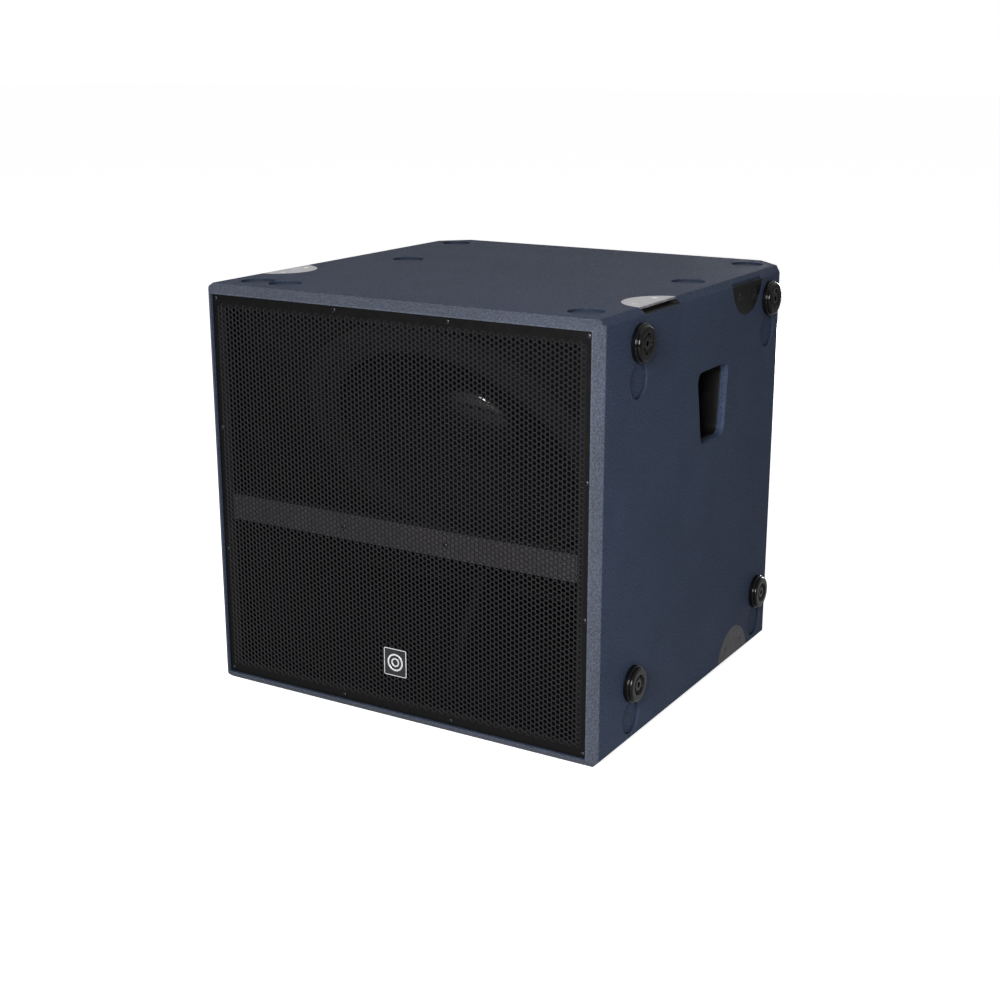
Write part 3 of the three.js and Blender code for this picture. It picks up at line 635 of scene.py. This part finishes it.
def carve_shell():
    """The seven panels as one painted shell, hollow and open at the front."""
    shell = shell_body()
    open_x = HALF - RIM
    carve(shell, placed(block((-open_x, -5, RIM), (open_x, FRONT_REBATE, HEIGHT - RIM)), CABINET))
    mitre = PLY * math.tan(math.pi / 8)
    inner = [chamfer((s * (HALF - REAR_CHAMFER - mitre), DEPTH - PLY, 0), (s, 1, 0)) for s in (-1, 1)]
    cavity = block((PLY - HALF, FRONT_REBATE - 0.1, PLY), (HALF - PLY, DEPTH - PLY, HEIGHT - PLY), inner)
    carve(shell, placed(cavity, CABINET), black_stain)
    for place in side_pockets + top_pockets:
        carve(shell, placed(pocket_cutter(), place), slate_paint, pocket_shade)
    for place in top_plates + upper_plates + lower_plates:
        carve(shell, placed(plate_recess(), place))
    for place in top_plates:
        # The slot's new walls take the black: painted shade under the plate.
        carve(shell, placed(plate_slot(), place), slot_painted_shade_black)
    for sign in (-1, 1):
        carve(shell, placed(handle_hole(), handle_frame(sign)))
    hole = soft_outline(dish_rectangle(DISH_CLEARANCE), 3)
    rebate = soft_outline(dish_rectangle(2 * DISH_FLANGE + DISH_CLEARANCE), 6)
    carve(shell, placed(loft([lifted(hole, -PLY - 2), lifted(hole, 2)]), rear_seat))
    carve(shell, placed(loft([lifted(rebate, -4.3), lifted(rebate, 2)]), rear_seat))
    return dress(shell, 32)


shell = carve_shell()
fitted(shell, "cabinet", "cabinet_paint", "top_panel", "bottom_panel", "left_panel", "right_panel",
       "rear_panel", "rear_corner_left", "rear_corner_right")


# ---------- perforated grille ----------
COLUMN_PITCH = HOLE_PITCH * math.sqrt(3) / 2
GRILLE_X = HALF - RIM - GRILLE_GAP
GRILLE_LOW, GRILLE_HIGH = RIM + GRILLE_GAP, HEIGHT - RIM - GRILLE_GAP
END_BORDER = 9.0
SIDE_BORDER = 7.6
COLUMNS = 2 * round((GRILLE_X - SIDE_BORDER - COLUMN_PITCH * 2 / 3) / COLUMN_PITCH) + 1
ROWS = int((GRILLE_HIGH - GRILLE_LOW - 2 * END_BORDER - HOLE_PITCH / 2) / HOLE_PITCH)
FIRST_Z = (GRILLE_LOW + GRILLE_HIGH) / 2 - (ROWS - 1) * HOLE_PITCH / 2 - HOLE_PITCH / 4


def hole_cell():
    """One hexagonal cell of sheet with its hole: face in local x and y, front at z = 0."""
    def hexagon(flats, z):
        return circle(flats / math.sqrt(3), z, 6)
    ring = loft([hexagon(HOLE_PITCH, 0), hexagon(HOLE_FLATS + 0.85, 0), hexagon(HOLE_FLATS, -0.55),
                 hexagon(HOLE_FLATS, -GRILLE_SHEET), hexagon(HOLE_PITCH, -GRILLE_SHEET)], ends=False)
    top = next(f for f in ring.faces if all(abs(v.co.z) < 1e-6 for v in f.verts))
    if top.normal.z < 0:
        bmesh.ops.reverse_faces(ring, faces=ring.faces)
    return ring


def perforation_tree():
    """Sets a cell on a grid of places whose odd columns stand half a pitch higher."""
    tree = bpy.data.node_groups.new("hex_perforation", "GeometryNodeTree")
    face = tree.interface
    face.new_socket("Geometry", in_out="INPUT", socket_type="NodeSocketGeometry")
    for name, kind in (("Columns", "Int"), ("First Column", "Int"), ("Rows", "Int"), ("Pitch", "Float"),
                       ("Low X", "Float"), ("Low Z", "Float"), ("Front Y", "Float"), ("Size", "Float"),
                       ("Cell", "Object"), ("Finish", "Material")):
        face.new_socket(name, in_out="INPUT", socket_type="NodeSocket" + kind)
    face.new_socket("Geometry", in_out="OUTPUT", socket_type="NodeSocketGeometry")
    new, link = tree.nodes.new, tree.links.new
    given, result = new("NodeGroupInput"), new("NodeGroupOutput")

    def sum_up(operation, first, second):
        made = new("ShaderNodeMath")
        made.operation = operation
        for socket, value in zip(made.inputs, (first, second)):
            if isinstance(value, (int, float)):
                socket.default_value = value
            else:
                link(value, socket)
        return made.outputs[0]

    count = sum_up("MULTIPLY", given.outputs["Columns"], given.outputs["Rows"])
    line, index = new("GeometryNodeMeshLine"), new("GeometryNodeInputIndex")
    link(count, line.inputs["Count"])
    column = sum_up("FLOOR", sum_up("DIVIDE", index.outputs[0], given.outputs["Rows"]), 0)
    row = sum_up("MODULO", index.outputs[0], given.outputs["Rows"])
    shift = sum_up("MULTIPLY", sum_up("MODULO", sum_up(
        "ADD", column, given.outputs["First Column"]), 2), 0.5)
    across = sum_up("MULTIPLY", given.outputs["Pitch"], math.sqrt(3) / 2)
    x = sum_up("ADD", sum_up("MULTIPLY", column, across), given.outputs["Low X"])
    z = sum_up("ADD", sum_up("MULTIPLY", sum_up("ADD", row, shift), given.outputs["Pitch"]),
               given.outputs["Low Z"])
    place, spot = new("GeometryNodeSetPosition"), new("ShaderNodeCombineXYZ")
    link(x, spot.inputs[0])
    link(given.outputs["Front Y"], spot.inputs[1])
    link(z, spot.inputs[2])
    link(line.outputs["Mesh"], place.inputs["Geometry"])
    link(spot.outputs[0], place.inputs["Position"])
    cell, spread = new("GeometryNodeObjectInfo"), new("GeometryNodeInstanceOnPoints")
    link(given.outputs["Cell"], cell.inputs["Object"])
    link(place.outputs["Geometry"], spread.inputs["Points"])
    link(cell.outputs["Geometry"], spread.inputs["Instance"])
    link(given.outputs["Size"], spread.inputs["Scale"])
    spread.inputs["Rotation"].default_value = (math.pi / 2, 0, 0)
    real, merge = new("GeometryNodeRealizeInstances"), new("GeometryNodeMergeByDistance")
    merge.inputs["Distance"].default_value = 0.00002
    coat = new("GeometryNodeSetMaterial")
    link(spread.outputs["Instances"], real.inputs["Geometry"])
    link(real.outputs["Geometry"], merge.inputs["Geometry"])
    link(merge.outputs["Geometry"], coat.inputs["Geometry"])
    link(given.outputs["Finish"], coat.inputs["Material"])
    link(coat.outputs["Geometry"], result.inputs["Geometry"])
    return tree


def close_outline(obj):
    """Walls between the front and the back of a sheet's open outline."""
    bm = bmesh.new()
    bm.from_mesh(obj.data)
    front, back = (pick(v.co.y for v in bm.verts) for pick in (min, max))
    middle = (front + back) / 2
    outline = [e for e in bm.edges if e.is_boundary]
    grown = bmesh.ops.extrude_edge_only(bm, edges=[e for e in outline if e.verts[0].co.y < middle])
    walls = [item for item in grown["geom"] if isinstance(item, bmesh.types.BMVert)]
    bmesh.ops.translate(bm, vec=(0, back - front, 0), verts=walls)
    rear = {v for e in outline if e.verts[0].co.y > middle for v in e.verts}
    bmesh.ops.remove_doubles(bm, verts=walls + list(rear), dist=2e-5)
    bmesh.ops.recalc_face_normals(bm, faces=bm.faces)
    bm.to_mesh(obj.data)
    bm.free()


def perforated_field(name, tree, cell, first, columns):
    """A run of whole columns of the sheet, closed all round."""
    obj = bpy.data.objects.new(name, bpy.data.meshes.new(name))
    bpy.context.collection.objects.link(obj)
    low = cab((first - (COLUMNS - 1) / 2) * COLUMN_PITCH, GRILLE_FRONT, FIRST_Z)
    grow_with(obj, tree, **{
        "Columns": columns, "First Column": first, "Rows": ROWS, "Pitch": HOLE_PITCH * MM,
        "Low X": low.x, "Low Z": low.z, "Front Y": low.y, "Size": MM, "Cell": cell, "Finish": grille_coat_with_painted_highlight})
    close_outline(obj)
    return obj


def plain_border():
    """The unpunched rim of the sheet, following the cells' zigzag on all four sides."""
    side = HOLE_PITCH / math.sqrt(3)
    low_x = -(COLUMNS - 1) / 2 * COLUMN_PITCH
    upper, lower = [], []
    for column in range(COLUMNS):
        x = low_x + column * COLUMN_PITCH
        base = FIRST_Z + (column % 2) * HOLE_PITCH / 2
        for points, level in ((upper, base + (ROWS - 0.5) * HOLE_PITCH), (lower, base - HOLE_PITCH / 2)):
            points += [(x - side / 2, level), (x + side / 2, level)]
    left, right = [], []
    for row in range(ROWS):
        for points, sign in ((left, -1), (right, 1)):
            x, z = sign * -low_x, FIRST_Z + row * HOLE_PITCH
            points.append((x + sign * side, z))
            if row < ROWS - 1:
                points.append((x + sign * side / 2, z + HOLE_PITCH / 2))
    bm = bmesh.new()

    def strip(inner, outer):
        a = [bm.verts.new((x, 0, z)) for x, z in inner]
        b = [bm.verts.new((x, 0, z)) for x, z in outer]
        for i in range(len(a) - 1):
            bm.faces.new((a[i], a[i + 1], b[i + 1], b[i]))

    strip(upper, [(x, GRILLE_HIGH) for x, _ in upper])
    strip(lower, [(x, GRILLE_LOW) for x, _ in lower])
    for points, corners, sign in ((left, (lower[0], upper[0]), -1), (right, (lower[-1], upper[-1]), 1)):
        inner = [corners[0], *points, corners[1]]
        strip(inner, [(sign * GRILLE_X, GRILLE_LOW)] + [(sign * GRILLE_X, z) for _, z in points] +
              [(sign * GRILLE_X, GRILLE_HIGH)])
        for corner, level in ((corners[0], GRILLE_LOW), (corners[1], GRILLE_HIGH)):
            bm.faces.new([bm.verts.new((x, 0, z)) for x, z in (
                corner, (corner[0], level), (sign * GRILLE_X, level))])
    bmesh.ops.remove_doubles(bm, verts=bm.verts, dist=0.001)
    for v in bm.verts:
        v.co.y = GRILLE_FRONT
    bmesh.ops.recalc_face_normals(bm, faces=bm.faces)
    if bm.faces[:][0].normal.y > 0:
        bmesh.ops.reverse_faces(bm, faces=bm.faces)
    raised = bmesh.ops.extrude_face_region(bm, geom=bm.faces[:])
    for v in [g for g in raised["geom"] if isinstance(g, bmesh.types.BMVert)]:
        v.co.y = GRILLE_FRONT + GRILLE_SHEET
    bmesh.ops.recalc_face_normals(bm, faces=bm.faces)
    return piece_from(placed(bm, CABINET), "grille_border", border_coat)


cell = piece_from(hole_cell(), "hole_cell", grille_coat_with_painted_highlight)
PERFORATION = perforation_tree()
LEFT_COLUMNS = COLUMNS // 2
for side, first, columns in (("left", 0, LEFT_COLUMNS), ("right", LEFT_COLUMNS, COLUMNS - LEFT_COLUMNS)):
    field = perforated_field("grille_mesh_" + side, PERFORATION, cell, first, columns)
    fitted(field, "cabinet", "grille_steel", "grille")
bpy.data.objects.remove(cell)
border = plain_border()
border.data.polygons.foreach_set("use_smooth", [False] * len(border.data.polygons))
fitted(border, "cabinet", "grille_steel", "grille")


# ---------- badge: a plain dark plate with a bright edge and rings ----------
badge_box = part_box("badge_plate")
badge_middle = (badge_box[0] + badge_box[1]) / 2
badge_seat = seat(Vector((badge_middle.x, badge_box[1].y, badge_middle.z)), (1, 0, 0), (0, -1, 0))
badge_w, badge_h = ((badge_box[1] - badge_box[0]) / MM).xz
badge_t = (badge_box[1].y - badge_box[0].y) / MM


def badge_ring(inner, outer, low, high, sides=32):
    """A flat raised ring with broken edges."""
    return turned([(inner, low), (outer, low), (outer, high - 0.1), (outer - 0.1, high),
                   (inner + 0.1, high), (inner, high - 0.1)], sides, looped=True)


def badge_parts():
    """The plate, its raised edge and its rings, each as its own mesh."""
    outline = rectangle(badge_w, badge_h)
    plate = loft([lifted(soft_outline(outline, 2.5, g), z) for g, z in (
        (0, 0), (0, badge_t - 0.5), (-0.25, badge_t - 0.3), (-1.2, badge_t - 0.3))])
    edge = loft([lifted(soft_outline(outline, 2.5, g), z) for g, z in (
        (-0.2, badge_t - 0.32), (-0.25, badge_t - 0.05), (-0.4, badge_t), (-1.3, badge_t),
        (-1.4, badge_t - 0.32))], looped=True)
    rings = [badge_ring(inner, outer, badge_t - 0.35, badge_t - 0.02)
             for inner, outer in ((9.8, 12.2), (4.2, 6.2))]
    return plate, edge, rings


plate_mesh, edge_mesh, ring_meshes = badge_parts()
badge = dress(piece_from(placed(plate_mesh, badge_seat), "badge_plate_dark", badge_dark))
fitted(badge, "cabinet", "badge_metal", "badge_plate")
edge = piece_from(placed(edge_mesh, badge_seat), "badge_bright_edge", badge_bright)
for mesh in ring_meshes:
    carve(edge, placed(mesh, badge_seat), operation="UNION")
fitted(dress(edge), "cabinet", "badge_metal", "badge_plate")


# ---------- screws, pucks and plates ----------
def pan_head(radius, height, shank, length):
    """A pan head with a cross recess, seat at z = 0."""
    profile = [(0, -length), (shank * 0.4, -length), (shank, -length + 2), (shank, 0), (radius, 0),
               (radius, height * 0.35), (radius * 0.86, height * 0.75), (radius * 0.55, height), (0, height)]
    head = piece_from(turned(profile, 20), "head")
    for long, wide in ((0.5, 0.14), (0.14, 0.5)):
        low = (-radius * long, -radius * wide, height * 0.3)
        carve(head, block(low, (radius * long, radius * wide, height + 1)))
    return take_mesh(head)


def take_mesh(obj):
    """The object's mesh as a bmesh; the object goes."""
    bm = bmesh.new()
    bm.from_mesh(obj.data)
    bpy.data.objects.remove(obj)
    return bm


def socket_bolt(radius, height, key, sides=24):
    """A low round bolt head with a hexagon socket, seat at z = 0."""
    def hexagon(flat_r, z):
        ring = []
        for i in range(sides):
            a = i * math.tau / sides
            wedge = (a % (math.tau / 6)) - math.tau / 12
            reach = flat_r / math.cos(wedge)
            ring.append(Vector((reach * math.cos(a), reach * math.sin(a), z)))
        return ring
    return loft([circle(radius, 0, sides), circle(radius, height - 0.7, sides),
                 circle(radius - 0.6, height, sides), hexagon(key + 0.3, height), hexagon(key, height - 0.4),
                 hexagon(key, 0.6), circle(0.4, 0.3, sides)])


grille_screw_nodes = ["grille_screw_%02d" % number for number in range(1, 15)]
grille_screws = []
for number, node in enumerate(grille_screw_nodes, 1):
    low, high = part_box(node)
    place = Vector(((low.x + high.x) / 2, SHELL_LOW.y + GRILLE_FRONT * MM, (low.z + high.z) / 2))
    spin = number * 1.7
    grille_screws.append(seat(place, (math.cos(spin), 0, math.sin(spin)), (0, -1, 0)))
fitted(scattered("grille_screws", pan_head(3.4, 1.6, 1.6, 14), grille_screws, screw_black),
       "cabinet", "screw_steel", *grille_screw_nodes)


def puck():
    """A turned rubber puck: wide base, step, and a domed cap with a bolt well."""
    base = [(0, 0.3), (23.8, 0.3)] + arc((23.8, 1.1), 0.8, -90, 0, 3) + [(24.6, 5.6)]
    step = arc((23.5, 5.9), 1.1, 0, 90, 4) + [(22.9, 7.0), (22.7, 7.4)]
    cap = arc((19.7, 8.9), 3.0, 0, 84, 7)
    well = [(15.2, 11.95), (13.6, 11.6), (12.9, 10.8), (11.6, 8.2), (10.4, 7.4), (0, 7.0)]
    return turned(base + step + cap + well, 56)


all_pucks = side_pucks + feet
puck_nodes = ["side_puck_%s_%s_%s" % (a, b, c) for a in ("front", "rear") for b in ("upper", "lower")
              for c in ("left", "right")]
puck_nodes += ["foot_%s_%s" % (a, c) for a in ("front", "rear") for c in ("left", "right")]
fitted(scattered("pucks", puck(), all_pucks, puck_rubber), "cabinet", "puck_rubber", *puck_nodes)
bolt_seats = [m @ Matrix.Translation((0, 0, 7.05)) for m in all_pucks]
fitted(scattered("puck_bolts", socket_bolt(8.2, 3.6, 3.6), bolt_seats, screw_black), "cabinet", "screw_steel")


def edge_plate():
    """A D-shaped plate with a broken edge and two countersunk holes, face at z = 0."""
    rings = [(0.0, -PLATE_THICK), (0.0, -0.55), (0.18, -0.18), (0.6, 0.0)]
    plate = piece_from(loft([lifted(plate_outline(s), z) for s, z in rings]), "plate")
    for side in (-1, 1):
        sink = turned([(0, -PLATE_THICK - 1), (2.8, -PLATE_THICK - 1), (2.8, -2.6), (5.3, -0.2), (5.5, 0.6),
                       (0, 0.6)], 32)
        carve(plate, placed(sink, Matrix.Translation((PLATE_SCREW_IN, side * PLATE_SCREW_OUT, 0))))
    return take_mesh(plate)


def countersunk():
    """A countersunk screw with a cross recess, flush at z = 0."""
    profile = [(0, -9), (2.2, -9), (2.2, -2.7), (4.9, -0.35), (4.9, -0.12), (4.6, 0.0), (0, 0.0)]
    screw = piece_from(turned(profile, 24), "screw")
    for long, wide in ((2.7, 0.55), (0.55, 2.7)):
        carve(screw, block((-long, -wide, -1.9), (long, wide, 1)))
    return take_mesh(screw)


for name, seats, finish in (("top", top_plates, bright_steel), ("rear_upper", upper_plates, plate_black_as_painted_shade),
                            ("rear_lower", lower_plates, plate_grey_as_painted_shade)):
    nodes = ["edge_plate_%s_%s" % (name, s) for s in ("left", "right")]
    fitted(scattered("edge_plates_" + name, edge_plate(), seats, finish), "cabinet", "plate_steel", *nodes)
    screws = [m @ Matrix.Translation((PLATE_SCREW_IN, s * PLATE_SCREW_OUT, -0.25)) @ Matrix.Rotation(
        0.6 + s * 0.9 + m.to_translation().x * 3, 4, "Z") for m in seats for s in (-1, 1)]
    # Screws on the rear plates take the black steel: painted shade.
    fitted(scattered("plate_screws_" + name, countersunk(), screws,
                     screw_bright if name == "top" else screw_black), "cabinet", "screw_steel")


# ---------- handle cups ----------
def handle_cup(sign):
    """A moulded cup behind the cut-out, open towards the outside, with a thin flange."""
    mouth = -PLY - 0.3
    floor, lip = mouth - CUP_DEPTH, mouth + 5
    outside = [(8.0, floor), (10.5, floor + 0.8), (12, floor + 3.5), (12, mouth - 4), (20, mouth - 4),
               (20, mouth), (-0.3, mouth), (-0.3, lip - 0.5)]
    inside = [(-0.8, lip), (-1.6, lip - 0.2), (-1.9, lip - 1.0), (-1.9, mouth - 1.6), (8, mouth - 3.0),
              (6.5, floor + 10), (5.2, floor + 6.2), (2.5, floor + 4.3), (0, floor + 4)]
    body = loft([lifted(soft_outline(HANDLE, 14, grow, 8), z) for grow, z in outside + inside])
    name = "handle_cup_" + ("right" if sign > 0 else "left")
    obj = dress(piece_from(placed(body, handle_frame(sign)), name + "_moulded", black_plastic), 50)
    return fitted(obj, "cabinet", "black_plastic", name)


for sign in (-1, 1):
    handle_cup(sign)


# ---------- connector dish ----------
dish_corners = [(x * (DISH_WIDE + DISH_FLANGE) / 2, y * (DISH_TALL + DISH_FLANGE) / 2)
                for x in (-1, 1) for y in (-1, 1)]


def connector_dish():
    """A shallow moulded tray with a flange, two socket holes and four countersunk screw holes."""
    flange, bed = 2 * DISH_FLANGE, -DISH_DEEP
    rings = [(0, 3, bed), (0, 3, -4), (flange, 6, -4), (flange, 6, -0.7), (flange - 1.4, 5.5, 0), (-3, 7, 0),
             (-5, 6.5, -1), (-6, 6, -3), (-7, 5.5, bed + 6), (-9, 5, bed + 3.6), (-13, 4, bed + 3)]
    body = loft([lifted(soft_outline(dish_rectangle(more), radius), z) for more, radius, z in rings])
    dish = piece_from(body, "connector_dish_moulded", black_plastic)
    for x in (-SOCKET_X, SOCKET_X):
        carve(dish, placed(turned([(0, -9), (12.3, -9), (12.3, 9), (0, 9)], 48),
                           Matrix.Translation((x, 0, bed))))
    for x, y in dish_corners:
        sink = turned([(0, -9), (2.4, -9), (2.4, -2.9), (5.2, -0.2), (5.4, 1), (0, 1)], 24)
        carve(dish, placed(sink, Matrix.Translation((x, y, 0))))
    weld(dish, 0.002)
    dish.data.transform(rear_seat)
    return dress(dish, 40)


fitted(connector_dish(), "cabinet", "black_plastic", "connector_dish")
dish_screws = [rear_seat @ Matrix.Translation((x, y, -0.2)) @
               Matrix.Rotation(math.copysign(1, x) + math.copysign(2.1, y), 4, "Z") for x, y in dish_corners]
fitted(scattered("dish_screws", countersunk(), dish_screws, screw_black), "cabinet", "screw_steel")


def panel_socket():
    """A round lead socket: flange with a soft rim, a well, and a keyed centre post."""
    profile = [(0, -18), (12, -18), (12, 0.3), (15, 0.3), (15, 1.5), (14.4, 2.2), (11.2, 2.2), (10.6, 1.8),
               (9.5, 1.2), (9.5, -11.8), (5.2, -11.8), (5.2, -1.2), (4.6, -0.6), (2.2, -0.6), (2.0, -1.0),
               (2.0, -8), (0, -8)]
    body = piece_from(turned(profile, 40), "socket")
    for turn in (0.3, 0.3 + math.pi):
        key = block((8.6, -1.4, -11), (10.4, 1.4, 1.6))
        carve(body, placed(key, Matrix.Rotation(turn, 4, "Z")))
    return take_mesh(body)


socket_seats = [rear_seat @ Matrix.Translation((x, 0, -DISH_DEEP + 3)) for x in (-SOCKET_X, SOCKET_X)]
fitted(scattered("lead_sockets", panel_socket(), socket_seats, socket_plastic), "cabinet", "socket_plastic",
       "socket_left", "socket_right")


# ---------- driver ----------
def driver_piece(name, profile, finish, sides, looped=False):
    """A piece turned about the driver's own axis."""
    return dress(piece_from(placed(turned(profile, sides, looped), DRIVER), name, finish), 40)


def ribbed_cone():
    """A straight cone with shallow rings and a rounded outer edge."""
    (neck_r, neck_z), (edge_r, edge_z) = (51.9, -62), (180, -5)
    steps, ribs = 60, 7
    outer = []
    for i in range(steps + 1):
        t = i / steps
        r, z = edge_r + (neck_r - edge_r) * t, edge_z + (neck_z - edge_z) * t
        swell = 0.55 * math.sin(t * math.tau * ribs) if 0.12 < t < 0.88 else 0.0
        outer.append((r - 1.5, z + swell))
    back = [(neck_r + 0.1, neck_z - 6), (neck_r + 2.4, neck_z - 6), (edge_r, edge_z - 2.5),
            (edge_r, edge_z - 0.3)]
    return outer + back


cone = driver_piece("cone_ribbed", ribbed_cone(), cone_pulp, 120, looped=True)
fitted(cone, "cone_assembly", "cone_paper", "cone")


def domed_cap(radius=63, rim=-56.4, rise=19, wall=1.6, steps=18):
    """A thin dome over the cone's neck."""
    turn = [i * math.pi / 2 / steps for i in range(steps + 1)]
    outer = [(radius * math.cos(a), rim + rise * math.sin(a)) for a in turn]
    inner = [((radius - wall) * math.cos(a), rim + (rise - wall) * math.sin(a)) for a in reversed(turn)]
    return outer + inner


def half_roll(inner=180.3, outer=205.7, base=1.0, wall=1.6, steps=18):
    """A half-round roll of cloth with a skirt inside and a foot outside."""
    middle, span = (inner + outer) / 2, (outer - inner) / 2
    turn = [math.pi * (1 - i / steps) for i in range(steps + 1)]
    over = [(middle + span * math.cos(a), base + span * math.sin(a)) for a in turn]
    slim = span - wall
    under = [(middle + slim * math.cos(a), base + slim * math.sin(a)) for a in reversed(turn)]
    return [(inner, -6), *over, (outer, 0.3), (outer - wall, 0.3), *under, (inner + wall, -6)]


fitted(driver_piece("dust_cap_domed", domed_cap(), cap_gloss, 72), "cone_assembly", "cone_paper", "dust_cap")
fitted(driver_piece("surround_roll", half_roll(), roll_cloth, 120, looped=True), "cabinet", "surround_rubber",
       "surround")


# ---------- front frame: black rim, grey crossbar ----------
def front_frame():
    """The frame that carries the grille, in its two finishes."""
    low, high = [(corner - cab(0, 0, 0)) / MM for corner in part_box("front_frame")]
    window = high.x - 16
    rim = piece_from(placed(soften(block(low, high), 0.8, 2), CABINET), "front_frame_rim", black_stain)
    opening = block((-window, low.y - 5, low.z + 16), (window, high.y + 5, high.z - 16))
    carve(rim, placed(opening, CABINET))
    bar = block((-window - 0.5, low.y + 0.02, RAIL_LOW), (window + 0.5, high.y - 0.02, RAIL_HIGH))
    rail = piece_from(bar, "front_frame_rail", rail_paint)
    for x in (-RAIL_SCREW_X, RAIL_SCREW_X):
        hole = turned([(0, -30), (1.9, -30), (1.9, 30), (0, 30)], 16)
        middle = Matrix.Translation((x, low.y, (RAIL_LOW + RAIL_HIGH) / 2))
        carve(rail, placed(hole, middle @ Matrix.Rotation(math.pi / 2, 4, "X")))
    rail.data.transform(CABINET)
    for piece, slot in ((dress(rim), "inner_wood"), (dress(rail), "cabinet_paint")):
        fitted(piece, "cabinet", slot, "front_frame")


front_frame()
for node, finish in (("driver_baffle", black_stain), ("port_panel", black_stain),
                     ("centre_gusset", black_stain), ("speaker_cable", cable_skin),
                     ("driver_basket", cast_black), ("motor_top_plate", motor_zinc),
                     ("motor_magnet", ferrite), ("motor_back_plate", motor_zinc), ("voice_coil", copper),
                     ("spider", spider_cloth)):
    for held in bpy.data.objects[node].material_slots:
        held.material = finish


# ---------- floor, light and camera ----------
def studio_floor(reach=30.0):
    """A wide pale floor that reads white to the eye and keeps the cabinet's shadow."""
    floor_mesh = bpy.data.meshes.new("floor")
    corners = [(x * reach, y * reach, 0) for x, y in ((-1, -1), (1, -1), (1, 1), (-1, 1))]
    floor_mesh.from_pydata(corners, [], [(0, 1, 2, 3)])
    floor = bpy.data.objects.new("floor", floor_mesh)
    bpy.context.collection.objects.link(floor)
    pale = Finish("pale_floor", (0.80, 0.80, 0.80), 0.9, Specular_IOR_Level=0.0)
    seen = pale.node("ShaderNodeLightPath", {}, {}, "Is Camera Ray")
    pale.set(Emission_Color=(1, 1, 1, 1), Emission_Strength=seen * 0.87)
    floor_mesh.materials.append(pale.material)


def white_world():
    """White to the eye and in reflections, plain soft light on the object."""
    world = bpy.data.worlds.new("studio")
    bpy.context.scene.world = world
    world.use_nodes = True
    tree = world.node_tree
    light = tree.nodes["Background"]
    light.inputs["Color"].default_value = (1, 1, 1, 1)
    light.inputs["Strength"].default_value = 0.15
    seen = tree.nodes.new("ShaderNodeBackground")
    seen.inputs["Color"].default_value = (1, 1, 1, 1)
    seen.inputs["Strength"].default_value = 1.0
    path, mix = tree.nodes.new("ShaderNodeLightPath"), tree.nodes.new("ShaderNodeMixShader")
    share = path.outputs["Is Camera Ray"]
    for other in ("Is Glossy Ray", "Is Transmission Ray"):
        either = tree.nodes.new("ShaderNodeMath")
        either.operation = "MAXIMUM"
        tree.links.new(share, either.inputs[0])
        tree.links.new(path.outputs[other], either.inputs[1])
        share = either.outputs[0]
    tree.links.new(share, mix.inputs[0])
    tree.links.new(light.outputs[0], mix.inputs[1])
    tree.links.new(seen.outputs[0], mix.inputs[2])
    tree.links.new(mix.outputs[0], tree.nodes["World Output"].inputs[0])


def soft_lamp(name, place, target, size, power):
    """A rectangular lamp that faces its target; sizes in metres, power in watts."""
    lamp = bpy.data.lights.new(name, "AREA")
    lamp.shape = "RECTANGLE"
    lamp.size, lamp.size_y = size
    lamp.energy = power
    obj = bpy.data.objects.new(name, lamp)
    obj.location = place
    obj.rotation_euler = (Vector(target) - Vector(place)).to_track_quat("-Z", "Y").to_euler()
    bpy.context.collection.objects.link(obj)


studio_floor()
white_world()
soft_lamp("key", (0.75, -2.15, 1.05), (0.05, 0, 0.3), (0.8, 0.8), 112)
soft_lamp("top", (-0.3, -0.2, 2.4), (0, 0, 0.5), (1.6, 1.6), 3)
soft_lamp("rear", (-0.3, 3.1, 0.42), (0, 0.3, 0.3), (1.2, 0.7), 52)

CAMERA_DOWN, CAMERA_AROUND = 16.03, 30.89
camera_data = bpy.data.cameras.new("camera")
camera_data.lens = 56.6
camera_data.sensor_width = 36
camera = bpy.data.objects.new("camera", camera_data)
camera.location = (1.11737, -1.89635, 0.87887)
camera.rotation_euler = (math.radians(90 - CAMERA_DOWN), 0, math.radians(CAMERA_AROUND))
bpy.context.collection.objects.link(camera)
bpy.context.scene.camera = camera
bpy.context.scene.view_settings.view_transform = "Standard"
